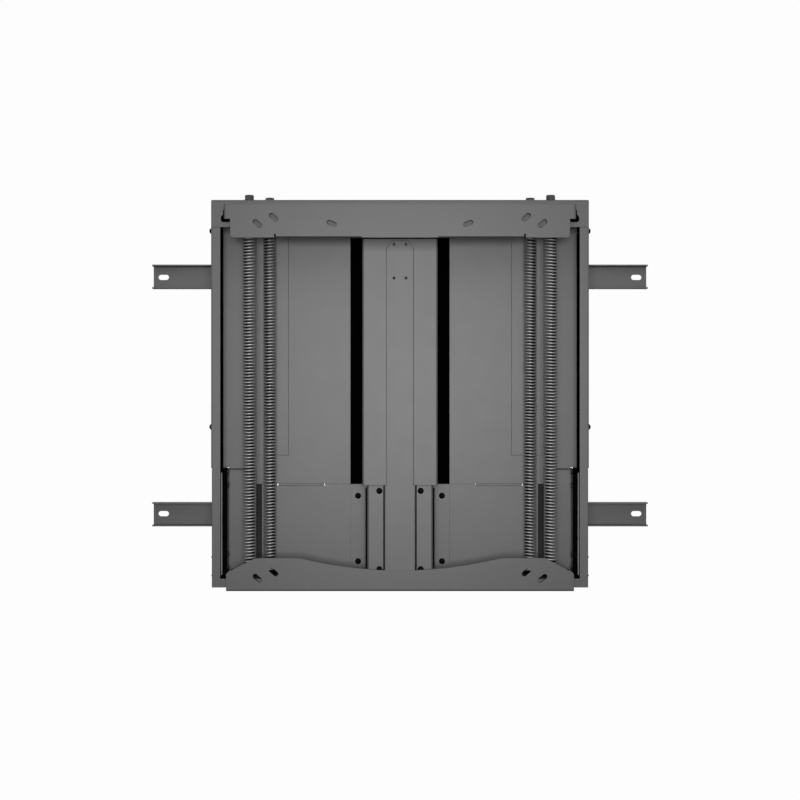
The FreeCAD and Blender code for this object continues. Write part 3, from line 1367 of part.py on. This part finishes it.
def bottom_bar():
    """Lower display bar with a dipped top edge, a flange bent back below, and slots."""
    low = f"({BOTTOM_BAR_FLOOR} + bar_flange_root)"
    end = f"{BOTTOM_BAR_FLOOR} + bottom_bar_end_height"
    top = f"{BOTTOM_BAR_FLOOR} + bottom_bar_shoulder"
    shoulder = f"({BOTTOM_BAR_END} - bottom_bar_shoulder_inset)"
    outline = [
        (f"-{BOTTOM_BAR_END}", low),
        (f"-{BOTTOM_BAR_END}", end),
        (f"-{shoulder}", top),
        ("-bottom_bar_dip_half", top),
        ("bottom_bar_dip_half", top),
        (shoulder, top),
        (BOTTOM_BAR_END, end),
        (BOTTOM_BAR_END, low),
    ]
    dip_radius = "(bottom_bar_dip_half^2 + bottom_bar_dip^2) / (2 * bottom_bar_dip)"
    bends = [
        ((1, 6), "bottom_bar_end_round"),
        ((2, 5), "bottom_bar_shoulder_round"),
        ((3, 4), "bottom_bar_dip_round"),
    ]
    face = outline_pad("bottom_face", "XZ_Plane", outline, BAR_REAR, "bar_sheet", bends, {3: dip_radius})
    pieces = [face, bar_flange("bottom_flange", BOTTOM_BAR_FLOOR, centred(BOTTOM_BAR_END))]
    tools = []
    for side, s in SIDES:
        rise = f"{BOTTOM_BAR_FLOOR} + bottom_slot_rise"
        tools.append(bar_slot(f"bottom_slot_a_{side}", s, DISPLAY_SLOT, rise, "display_slot_slant"))
        inner_slot = f"({DISPLAY_SLOT} - display_slot_pitch)"
        inner_rise = f"{rise} + display_slot_step"
        tools.append(bar_slot(f"bottom_slot_b_{side}", s, inner_slot, inner_rise, "display_slot_slant"))
    add_node("bottom_bar", cut("bottom_bar", fuse("bottom_bar_body", pieces), tools))


def check_document():
    """Stops if any object failed or a sub-part has no valid shape."""
    for thing in doc.Objects:
        if "Invalid" in thing.State or "Error" in thing.State:
            raise RuntimeError(f"{thing.Name} failed: {thing.State}")
    for label, piece in nodes.items():
        if piece.Shape.isNull() or not piece.Shape.isValid() or not piece.Shape.Solids:
            raise RuntimeError(f"{label} has no valid solid")


def export_nodes():
    """Writes each sub-part to its own file."""
    os.makedirs("parts", exist_ok=True)
    for label, piece in nodes.items():
        piece.Shape.exportStep(f"parts/{label}.step")


wall_rails()
rail_fastening()
back_panel()
side_channels()
top_cap()
lock_plates()
bottom_cross_member()
outer_plates()
side_panels()
centre_track()
guides()
adjusters()
lower_plugs()
springs()
carriage_plate()
glide_strips()
catch_bars()
sliders()
mast_brackets()
mast()
strap()
mast_fastening()
spring_shelves()
top_bar()
bottom_bar()
doc.recompute()
check_document()
export_nodes()
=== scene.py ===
import math

import bpy
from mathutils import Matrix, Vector


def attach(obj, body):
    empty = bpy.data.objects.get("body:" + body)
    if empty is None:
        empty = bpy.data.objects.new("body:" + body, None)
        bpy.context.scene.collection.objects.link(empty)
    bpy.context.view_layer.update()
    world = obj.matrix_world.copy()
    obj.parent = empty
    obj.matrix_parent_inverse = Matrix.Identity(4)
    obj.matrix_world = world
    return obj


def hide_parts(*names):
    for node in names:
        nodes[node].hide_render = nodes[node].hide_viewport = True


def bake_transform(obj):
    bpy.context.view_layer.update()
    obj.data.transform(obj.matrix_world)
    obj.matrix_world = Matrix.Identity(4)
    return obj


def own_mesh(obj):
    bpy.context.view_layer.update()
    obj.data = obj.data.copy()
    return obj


# Looks of the height-adjustable tv wall mount, in metres, around its CAD model. The mount's pieces keep
# their solids and get materials, and the springs get a fuller form with all their turns.

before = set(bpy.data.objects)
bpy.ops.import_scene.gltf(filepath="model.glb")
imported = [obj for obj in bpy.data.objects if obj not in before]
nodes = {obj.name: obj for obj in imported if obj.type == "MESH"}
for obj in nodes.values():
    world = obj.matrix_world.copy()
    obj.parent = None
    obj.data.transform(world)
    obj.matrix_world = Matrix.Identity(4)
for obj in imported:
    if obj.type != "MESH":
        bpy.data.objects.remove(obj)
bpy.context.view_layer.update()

SIDES = (("left", -1), ("right", 1))

# Springs: places across and in depth, ends, turns and wire. The closed pitch is in wires.
SPRING_PLACES = {"outer": (0.2514, -0.082), "inner": (0.2204, -0.045)}
SPRING_LOW = -0.2965
SPRING_HIGH = 0.290
SPRING_TURNS = 114
SPRING_WIRE = 0.0025
SPRING_OUTER_RADIUS = 0.011
CLOSED_TURNS = 1.5
CLOSED_PITCH = 1.02
EASE_TURNS = 1.0
CROWN_FLOOR = 0.265
WIRE_SIDES = 8
TURN_STEPS = 20

# Wire pattern: its scale round the wire and for each step along it
PATTERN_ROUND = 2
PATTERN_ALONG = 0.15

# Noise values between which most patterns go from none to full
NOISE_LOW = 0.3
NOISE_HIGH = 0.7

# Edge mask, by how well the rounded normal matches the flat one: full up to the first, none from the second
EDGE_FULL = 0.8
EDGE_NONE = 0.99
BEVEL_SAMPLES = 4

# Powder coat: cloudiness, light grain, painted edge shade in patches, roughness, gloss, edge tone and
# rounding
COAT_CLOUD = (0.985, 1.015)
COAT_GRAIN_NOISE = (0.35, 0.65)
COAT_GRAIN_SHARE = 0.16
COAT_GRAIN_TONE = 1.5
COAT_EDGE_SHADE_NOISE = (0.35, 0.7)
COAT_EDGE_SHADE = (0.5, 0.9)
COAT_ROUGHNESS = (0.36, 0.375)
COAT_GLOSS = 0.4
COAT_EDGE = 0.75
COAT_ROUNDING = 0.0006

# Shade painted on the mast's pieces and the strap: dark from just below the top bar up to their tops, on the
# rear too, and a soft rim under that. It stands in for the shadow in the photo, which the lamps don't cast
# here, because the mast lies close behind the bar. From behind, a raised mast shows it as a black end.
SHADOW_FLOOR = 0.2584
SHADOW_BLEND = 0.0006
RIM_REACH = 0.022
RIM_SHARE = 0.6
SHADOW_TONE = 0.01

# Plastic, zinc, spring wire and black steel: tone ranges, edges, and how far the roughness strays
PLASTIC_CLOUD = (0.85, 1.15)
PLASTIC_ROUNDING = 0.0004
PLASTIC_STRAY = 0.05
ZINC_CLOUD = (0.86, 1.1)
ZINC_EDGE_TONE = 1.3
ZINC_EDGE_SHARE = 0.5
ZINC_STRAY = 0.08
WIRE_CLOUD = (0.85, 1.15)
# Spring wire's painted shade on its flanks and inner side: where round the wire it fades out, and its tone
WIRE_FRONT = (0.4, 1.8)
WIRE_SHADE_TONE = 0.08
WIRE_METAL = 0.6
WIRE_STRAY = 0.07
OXIDE_CLOUD = (0.8, 1.3)
OXIDE_EDGE_TONE = 3
OXIDE_EDGE_SHARE = 0.35
OXIDE_ROUGHNESS = (0.3, 0.4)
OXIDE_GLOSS = 0.2
METAL_ROUNDING = 0.0003

# Blue of the greys, as a share of their red and green
GREY_BLUE = 1.02

# Camera, lamps, floor and world
CAMERA_PLACE = (0, -2.7, -0.0077)
CAMERA_TILT = 90
CAMERA_LENS = 70.587
SENSOR_WIDTH = 36
LAMP_TARGET = (0, 0, 0)
KEY_PLACE = (0, -3.0, 0.05)
KEY_SIZE = 1.0
KEY_POWER = 42
TOP_PLACE = (0, -1.4, 1.3)
TOP_SIZE = 0.9
TOP_POWER = 10
FLOOR_LEVEL = -0.9
FLOOR_SIZE = 60
FLOOR_GLOW = 1.02
FLOOR_GLOW_SHARE = 0.96
FLOOR_TONE = 0.15
WORLD_LIGHT = 0.40
WORLD_WHITE = 0.98


class Graph:
    """A material's node tree, with short calls to add nodes and links."""

    def __init__(self, name):
        self.material = bpy.data.materials.new(name)
        self.material.use_nodes = True
        self.tree = self.material.node_tree
        self.tree.nodes.clear()
        self.shader = self.add("ShaderNodeBsdfPrincipled")
        output = self.add("ShaderNodeOutputMaterial")
        self.link(self.shader.outputs["BSDF"], output.inputs["Surface"])
        self.place = self.add("ShaderNodeTexCoord").outputs["Object"]

    def add(self, kind, **settings):
        node = self.tree.nodes.new(kind)
        for key, setting in settings.items():
            setattr(node, key, setting)
        return node

    def link(self, source, target):
        self.tree.links.new(source, target)

    def noise(self, scale, detail, place=None):
        node = self.add("ShaderNodeTexNoise")
        node.inputs["Scale"].default_value = scale
        node.inputs["Detail"].default_value = detail
        self.link(place or self.place, node.inputs["Vector"])
        return node.outputs["Fac"]

    def spread(self, source, low, high, new_low, new_high):
        """Maps a range of a value to another one."""
        node = self.add("ShaderNodeMapRange")
        for key, number in zip(("From Min", "From Max", "To Min", "To Max"), (low, high, new_low, new_high)):
            node.inputs[key].default_value = number
        self.link(source, node.inputs["Value"])
        return node.outputs["Result"]

    def patches(self, scale, detail, new_low=0, new_high=1):
        """Noise that goes from one value to another in soft patches."""
        return self.spread(self.noise(scale, detail), NOISE_LOW, NOISE_HIGH, new_low, new_high)

    def part(self, vector, axis):
        """One axis of a vector."""
        node = self.add("ShaderNodeSeparateXYZ")
        self.link(vector, node.inputs["Vector"])
        return node.outputs[axis]

    def combine(self, operation, first, second):
        """Two linked values in one sum, product or choice."""
        node = self.add("ShaderNodeMath", operation=operation)
        self.link(first, node.inputs[0])
        self.link(second, node.inputs[1])
        return node.outputs["Value"]

    def blend(self, factor, first, second):
        """A colour between two colours, or between a linked colour and a colour."""
        node = self.add("ShaderNodeMix", data_type="RGBA")
        self.link(factor, node.inputs["Factor"])
        for socket, colour in ((node.inputs["A"], first), (node.inputs["B"], second)):
            if isinstance(colour, tuple):
                socket.default_value = (*colour, 1)
            else:
                self.link(colour, socket)
        return node.outputs["Result"]

    def bump(self, height, strength, distance, normal=None):
        node = self.add("ShaderNodeBump")
        node.inputs["Strength"].default_value = strength
        node.inputs["Distance"].default_value = distance
        self.link(height, node.inputs["Height"])
        if normal is not None:
            self.link(normal, node.inputs["Normal"])
        return node.outputs["Normal"]

    def soft_edges(self, radius, share=1):
        """The normal with rounded edges, and a mask that is share on them."""
        bevel = self.add("ShaderNodeBevel", samples=BEVEL_SAMPLES)
        bevel.inputs["Radius"].default_value = radius
        flat = self.add("ShaderNodeNewGeometry").outputs["Normal"]
        match = self.add("ShaderNodeVectorMath", operation="DOT_PRODUCT")
        self.link(bevel.outputs["Normal"], match.inputs[0])
        self.link(flat, match.inputs[1])
        mask = self.spread(match.outputs["Value"], EDGE_FULL, EDGE_NONE, share, 0)
        return bevel.outputs["Normal"], mask

    def set(self, name, number):
        self.shader.inputs[name].default_value = number

    def drive(self, name, source):
        self.link(source, self.shader.inputs[name])


def shade(colour, factor):
    return tuple(min(1, channel * factor) for channel in colour)


def shades(colour, factors):
    return [shade(colour, factor) for factor in factors]


def grey(level):
    return (level, level, level * GREY_BLUE)


def powder_coat(name, colour, edge=COAT_EDGE, rounding=COAT_ROUNDING, bar_shadow=False):
    """Satin powder coat on sheet metal: fine orange peel, faint cloudiness and painted shade on its edges.

    With seam, a shade is painted on from just below the top bar upwards, in place of the photo's shadow.
    """
    graph = Graph(name)
    tone = graph.blend(graph.patches(scale=14, detail=3), *shades(colour, COAT_CLOUD))
    grain = graph.spread(graph.noise(scale=2400, detail=2), *COAT_GRAIN_NOISE, 0, COAT_GRAIN_SHARE)
    tone = graph.blend(grain, tone, shade(colour, COAT_GRAIN_TONE))
    if bar_shadow:
        height = graph.part(graph.place, "Z")
        rim = graph.spread(height, SHADOW_FLOOR - RIM_REACH, SHADOW_FLOOR, 0, RIM_SHARE)
        in_shadow = graph.spread(height, SHADOW_FLOOR, SHADOW_FLOOR + SHADOW_BLEND, 0, 1)
        painted = graph.combine("MAXIMUM", rim, in_shadow)
        tone = graph.blend(painted, tone, shade(colour, SHADOW_TONE))
        graph.drive("Specular IOR Level", graph.spread(painted, 0, 1, COAT_GLOSS, 0))
    else:
        graph.set("Specular IOR Level", COAT_GLOSS)
    normal, on_edge = graph.soft_edges(rounding)
    # Painted shade on the edges, stronger or weaker in patches
    edge_shade_patches = graph.spread(graph.noise(scale=60, detail=4), *COAT_EDGE_SHADE_NOISE, *COAT_EDGE_SHADE)
    shaded_edges = graph.combine("MULTIPLY", on_edge, edge_shade_patches)
    graph.drive("Base Color", graph.blend(shaded_edges, tone, shade(colour, edge)))
    peel = graph.noise(scale=900, detail=2)
    graph.drive("Normal", graph.bump(peel, strength=0.2, distance=0.00005, normal=normal))
    low, high = COAT_ROUGHNESS
    graph.drive("Roughness", graph.patches(scale=40, detail=3, new_low=low, new_high=high))
    return graph.material


def moulded_plastic(name, colour, roughness, gloss):
    """Matt moulded plastic with a fine spark-eroded grain."""
    graph = Graph(name)
    tone = graph.blend(graph.patches(scale=25, detail=3), *shades(colour, PLASTIC_CLOUD))
    graph.drive("Base Color", tone)
    normal, _ = graph.soft_edges(PLASTIC_ROUNDING)
    grain = graph.noise(scale=1800, detail=3)
    graph.drive("Normal", graph.bump(grain, strength=0.35, distance=0.00008, normal=normal))
    low, high = roughness - PLASTIC_STRAY, roughness + PLASTIC_STRAY
    graph.drive("Roughness", graph.patches(scale=90, detail=3, new_low=low, new_high=high))
    graph.set("Specular IOR Level", gloss)
    return graph.material


def zinc_plate(name, colour, roughness):
    """Zinc-plated steel: patchy sheen, fine grain and brighter edges."""
    graph = Graph(name)
    tone = graph.blend(graph.patches(scale=180, detail=4), *shades(colour, ZINC_CLOUD))
    normal, on_edge = graph.soft_edges(METAL_ROUNDING, ZINC_EDGE_SHARE)
    graph.drive("Base Color", graph.blend(on_edge, tone, shade(colour, ZINC_EDGE_TONE)))
    grain = graph.noise(scale=2500, detail=2)
    graph.drive("Normal", graph.bump(grain, strength=0.2, distance=0.00004, normal=normal))
    low, high = roughness - ZINC_STRAY, roughness + ZINC_STRAY
    graph.drive("Roughness", graph.patches(scale=400, detail=4, new_low=low, new_high=high))
    graph.set("Metallic", 1)
    return graph.material


def drawn_wire(name, colour, roughness):
    """Zinc-plated spring wire, with faint die lines along it.

    Its flanks and inner side are painted darker, as painted shade that gives the turns the contrast that
    they have in the photo.
    """
    graph = Graph(name)
    pattern = graph.add("ShaderNodeAttribute", attribute_name="wire_place").outputs["Vector"]
    lines = graph.noise(scale=1, detail=3, place=pattern)
    tone = graph.blend(graph.spread(lines, NOISE_LOW, NOISE_HIGH, 0, 1), *shades(colour, WIRE_CLOUD))
    outward = graph.spread(graph.part(pattern, "X"), *WIRE_FRONT, 0, 1)
    graph.drive("Base Color", graph.blend(outward, shade(colour, WIRE_SHADE_TONE), tone))
    graph.drive("Normal", graph.bump(lines, strength=0.3, distance=0.00005))
    low, high = roughness - WIRE_STRAY, roughness + WIRE_STRAY
    graph.drive("Roughness", graph.patches(scale=300, detail=3, new_low=low, new_high=high))
    graph.set("Metallic", WIRE_METAL)
    return graph.material


def black_oxide(name, colour, gloss=OXIDE_GLOSS):
    """Blackened steel of screws and bolts, with a dull sheen and rubbed rims. On the shelves and lower plugs
    its near-black is painted shade.
    """
    graph = Graph(name)
    tone = graph.blend(graph.patches(scale=300, detail=3), *shades(colour, OXIDE_CLOUD))
    normal, on_edge = graph.soft_edges(METAL_ROUNDING, OXIDE_EDGE_SHARE)
    graph.drive("Base Color", graph.blend(on_edge, tone, shade(colour, OXIDE_EDGE_TONE)))
    grain = graph.noise(scale=2500, detail=2)
    graph.drive("Normal", graph.bump(grain, strength=0.25, distance=0.00005, normal=normal))
    low, high = OXIDE_ROUGHNESS
    graph.drive("Roughness", graph.patches(scale=400, detail=3, new_low=low, new_high=high))
    graph.set("Specular IOR Level", gloss)
    return graph.material


# The low edge tones of the catch bars, the strap and the bars are painted shade, for the dark outlines that
# the photo shows.
MATERIALS = {
    # These greys stand for one paint. The pieces inside the housing have lighter tones, as painted light
    # against the shade in there, and the cap a darker one, as painted shade.
    "housing": powder_coat("housing_powder_coat", grey(0.066)),
    "cap": powder_coat("cap_powder_coat", grey(0.061)),
    "outline": powder_coat("catch_powder_coat", grey(0.066), edge=0.02, rounding=0.0010),
    "panel": powder_coat("panel_powder_coat", grey(0.079)),
    "plate": powder_coat("plate_powder_coat", grey(0.072)),
    "column": powder_coat("column_powder_coat", grey(0.072), rounding=0.0011, bar_shadow=True),
    "strap": powder_coat("strap_powder_coat", grey(0.072), edge=0.05, rounding=0.0026, bar_shadow=True),
    "bar": powder_coat("bar_powder_coat", grey(0.066), edge=0.42),
    "rail": powder_coat("rail_powder_coat", grey(0.061)),
    # The liner's pieces are black plastic; their near-black without any gloss is also painted shade for the
    # dark gaps where they show.
    "liner": moulded_plastic("painted_shade_black", (0.0008, 0.0008, 0.0009), roughness=0.9, gloss=0),
    "black": moulded_plastic("black_plastic", (0.0012, 0.0012, 0.0013), roughness=0.75, gloss=0.02),
    "strip": moulded_plastic("glide_strip_plastic", (0.026, 0.026, 0.027), roughness=0.7, gloss=0.1),
    "pale": moulded_plastic("tongue_plastic", (0.30, 0.30, 0.29), roughness=0.45, gloss=0.12),
    "zinc": zinc_plate("zinc_plate", (0.40, 0.41, 0.43), roughness=0.42),
    "bright": zinc_plate("bright_zinc", (0.80, 0.81, 0.83), roughness=0.25),
    "wire": drawn_wire("spring_wire", (0.38, 0.383, 0.39), roughness=0.47),
    "screw": black_oxide("black_screws", (0.002, 0.002, 0.0022), gloss=0.03),
    "glint": black_oxide("glossy_black_screws", (0.008, 0.008, 0.0085), gloss=0.8),
    # Shelves and lower plugs are near-black as painted shade behind the bottom bar's slots.
    "shelf": black_oxide("painted_shade_shelves", (0.003, 0.003, 0.0033), gloss=0.05),
    "bolt": black_oxide("dark_bolts", (0.025, 0.025, 0.026)),
}

LOOKS = {
    "housing": ["back_panel", "side_channel_left", "side_channel_right", "bottom_cross_member"],
    "cap": ["top_cap"],
    "outline": ["catch_bars"],
    "panel": ["side_panel_left", "side_panel_right"],
    "plate": ["carriage_plate", "wing_flange_left", "wing_flange_right", "mast_bracket_left",
              "mast_bracket_right"],
    "column": ["mast", "mast_head_plate", "mast_spacers"],
    "strap": ["strap"],
    "bar": ["top_bar", "bottom_bar"],
    "rail": ["wall_rail_upper", "wall_rail_lower", "rail_blocks", "outer_plate_left", "outer_plate_right"],
    "liner": ["centre_track", "guide_rail_left", "guide_rail_right", "lock_plates"],
    "black": ["slide_block_left", "slide_block_right", "upper_stops", "lower_bumpers"],
    "strip": ["glide_strips"],
    "pale": ["slide_tongue_left", "slide_tongue_right"],
    "zinc": ["rail_bolts", "lower_plug_bolts"],
    "bright": ["catch_pins"],
    "screw": ["side_screws_left", "side_screws_right", "carriage_screws"],
    "glint": ["slide_screws_left", "slide_screws_right"],
    "bolt": ["adjuster_washers", "strap_rivets"],
    "shelf": ["lower_plugs", "spring_shelf_left", "spring_shelf_right"],
}


def set_material(thing, material):
    thing.data.materials.clear()
    thing.data.materials.append(material)


def dress_nodes():
    """Gives each CAD node its material, apart from the springs, which are replaced."""
    for look, names in LOOKS.items():
        for name in names:
            set_material(nodes[name], MATERIALS[look])
    for row in SPRING_PLACES:
        for side, _ in SIDES:
            set_material(nodes[f"adjuster_bolt_{row}_{side}"], MATERIALS["bolt"])
            set_material(nodes[f"tension_plug_{row}_{side}"], MATERIALS["zinc"])


def coil_heights():
    """Heights along the coil's centre line: closed end turns that ease into an even pitch."""
    closed = SPRING_WIRE * CLOSED_PITCH
    shares = []
    for step in range(SPRING_TURNS * TURN_STEPS):
        turn = (step + 0.5) / TURN_STEPS
        from_end = min(turn, SPRING_TURNS - turn)
        ease = min(1, max(0, (from_end - CLOSED_TURNS) / EASE_TURNS))
        shares.append(ease * ease * (3 - 2 * ease))
    length = SPRING_HIGH - SPRING_LOW - SPRING_WIRE
    closed_length = closed * sum(1 - share for share in shares) / TURN_STEPS
    open_pitch = (length - closed_length) / (sum(shares) / TURN_STEPS)
    heights = [SPRING_LOW + SPRING_WIRE / 2]
    for share in shares:
        heights.append(heights[-1] + (closed * (1 - share) + open_pitch * share) / TURN_STEPS)
    return heights


def coil_piece(name, x, y, hand, heights, first_step):
    """A stretch of a coil spring, as a round wire on a helix, from one step of the helix on."""
    radius = SPRING_OUTER_RADIUS - SPRING_WIRE / 2
    verts = []
    places = []
    for step, height in enumerate(heights, first_step):
        angle = hand * math.tau * step / TURN_STEPS
        outward = Vector((math.cos(angle), math.sin(angle), 0))
        centre = Vector((x, y, height)) + outward * radius
        for side in range(WIRE_SIDES):
            around = math.tau * side / WIRE_SIDES
            out, up = math.cos(around), math.sin(around)
            verts.append(centre + (outward * out + Vector((0, 0, up))) * (SPRING_WIRE / 2))
            places.extend((out * PATTERN_ROUND, up * PATTERN_ROUND, step * PATTERN_ALONG))
    faces = []
    for step in range(len(heights) - 1):
        for side in range(WIRE_SIDES):
            following = (side + 1) % WIRE_SIDES
            first = step * WIRE_SIDES
            second = first + WIRE_SIDES
            quad = (first + side, second + side, second + following, first + following)
            faces.append(quad if hand < 0 else quad[::-1])
    start = tuple(range(WIRE_SIDES))
    end = tuple(range(len(verts) - WIRE_SIDES, len(verts)))
    faces.append(start if hand > 0 else start[::-1])
    faces.append(end[::-1] if hand > 0 else end)
    data = bpy.data.meshes.new(name)
    data.from_pydata(verts, [], faces)
    data.shade_smooth()
    attribute = data.attributes.new("wire_place", "FLOAT_VECTOR", "POINT")
    attribute.data.foreach_set("vector", places)
    thing = bpy.data.objects.new(name, data)
    bpy.context.scene.collection.objects.link(thing)
    set_material(thing, MATERIALS["wire"])
    return thing


def springs():
    """The four springs, each as a coil on the housing and a crown above it, in place of the spring's solid.
    """
    heights = coil_heights()
    seam_step = next(step for step, height in enumerate(heights) if height > CROWN_FLOOR)
    for row, (across, depth) in SPRING_PLACES.items():
        for side, sign in SIDES:
            name = f"{row}_{side}"
            x = sign * across
            coil = coil_piece(f"coil_{name}", x, depth, -sign, heights[:seam_step + 1], 0)
            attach(coil, "housing")
            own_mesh(coil)
            crown = coil_piece(f"crown_{name}", x, depth, -sign, heights[seam_step:], seam_step)
            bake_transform(crown)
            for piece in (coil, crown):
                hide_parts(f"spring_{name}")


def floor():
    """Plain pale floor below the mount. It looks white and keeps a faint shadow."""
    data = bpy.data.meshes.new("floor")
    half = FLOOR_SIZE / 2
    corners = [(-half, -half, FLOOR_LEVEL), (half, -half, FLOOR_LEVEL), (half, half, FLOOR_LEVEL),
               (-half, half, FLOOR_LEVEL)]
    data.from_pydata(corners, [], [(0, 1, 2, 3)])
    thing = bpy.data.objects.new("floor", data)
    bpy.context.scene.collection.objects.link(thing)
    material = bpy.data.materials.new("floor_white")
    material.use_nodes = True
    tree = material.node_tree
    tree.nodes.clear()
    output = tree.nodes.new("ShaderNodeOutputMaterial")
    mixer = tree.nodes.new("ShaderNodeMixShader")
    matt = tree.nodes.new("ShaderNodeBsdfDiffuse")
    matt.inputs["Color"].default_value = (FLOOR_TONE, FLOOR_TONE, FLOOR_TONE, 1)
    glow = tree.nodes.new("ShaderNodeEmission")
    glow.inputs["Color"].default_value = (1, 1, 1, 1)
    glow.inputs["Strength"].default_value = FLOOR_GLOW
    rays = tree.nodes.new("ShaderNodeLightPath")
    most = tree.nodes.new("ShaderNodeMath")
    most.operation = "MULTIPLY"
    most.inputs[1].default_value = FLOOR_GLOW_SHARE
    tree.links.new(rays.outputs["Is Camera Ray"], most.inputs[0])
    tree.links.new(most.outputs["Value"], mixer.inputs["Fac"])
    tree.links.new(matt.outputs["BSDF"], mixer.inputs[1])
    tree.links.new(glow.outputs["Emission"], mixer.inputs[2])
    tree.links.new(mixer.outputs["Shader"], output.inputs["Surface"])
    data.materials.append(material)


def world_light():
    """Even light from all round. The camera, gloss and glass see it as white."""
    world = bpy.data.worlds.new("studio")
    bpy.context.scene.world = world
    world.use_nodes = True
    tree = world.node_tree
    tree.nodes.clear()
    output = tree.nodes.new("ShaderNodeOutputWorld")
    mixer = tree.nodes.new("ShaderNodeMixShader")
    light = tree.nodes.new("ShaderNodeBackground")
    light.inputs["Strength"].default_value = WORLD_LIGHT
    white = tree.nodes.new("ShaderNodeBackground")
    white.inputs["Color"].default_value = (WORLD_WHITE, WORLD_WHITE, WORLD_WHITE, 1)
    rays = tree.nodes.new("ShaderNodeLightPath")
    seen = rays.outputs["Is Camera Ray"]
    for name in ("Is Glossy Ray", "Is Transmission Ray"):
        either = tree.nodes.new("ShaderNodeMath")
        either.operation = "MAXIMUM"
        tree.links.new(seen, either.inputs[0])
        tree.links.new(rays.outputs[name], either.inputs[1])
        seen = either.outputs["Value"]
    tree.links.new(seen, mixer.inputs["Fac"])
    tree.links.new(light.outputs["Background"], mixer.inputs[1])
    tree.links.new(white.outputs["Background"], mixer.inputs[2])
    tree.links.new(mixer.outputs["Shader"], output.inputs["Surface"])


def softbox(name, place, size, power):
    """A square soft light that points at the mount."""
    data = bpy.data.lights.new(name, "AREA")
    data.shape = "SQUARE"
    data.size = size
    data.energy = power
    lamp = bpy.data.objects.new(name, data)
    bpy.context.scene.collection.objects.link(lamp)
    lamp.location = place
    lamp.rotation_euler = (Vector(LAMP_TARGET) - Vector(place)).to_track_quat("-Z", "Y").to_euler()


def camera():
    data = bpy.data.cameras.new("camera")
    data.lens = CAMERA_LENS
    data.sensor_width = SENSOR_WIDTH
    thing = bpy.data.objects.new("camera", data)
    bpy.context.scene.collection.objects.link(thing)
    thing.location = CAMERA_PLACE
    thing.rotation_euler = (math.radians(CAMERA_TILT), 0, 0)
    bpy.context.scene.camera = thing


dress_nodes()
springs()
floor()
world_light()
softbox("key", KEY_PLACE, KEY_SIZE, KEY_POWER)
softbox("top", TOP_PLACE, TOP_SIZE, TOP_POWER)
camera()
bpy.context.scene.view_settings.view_transform = "Standard"
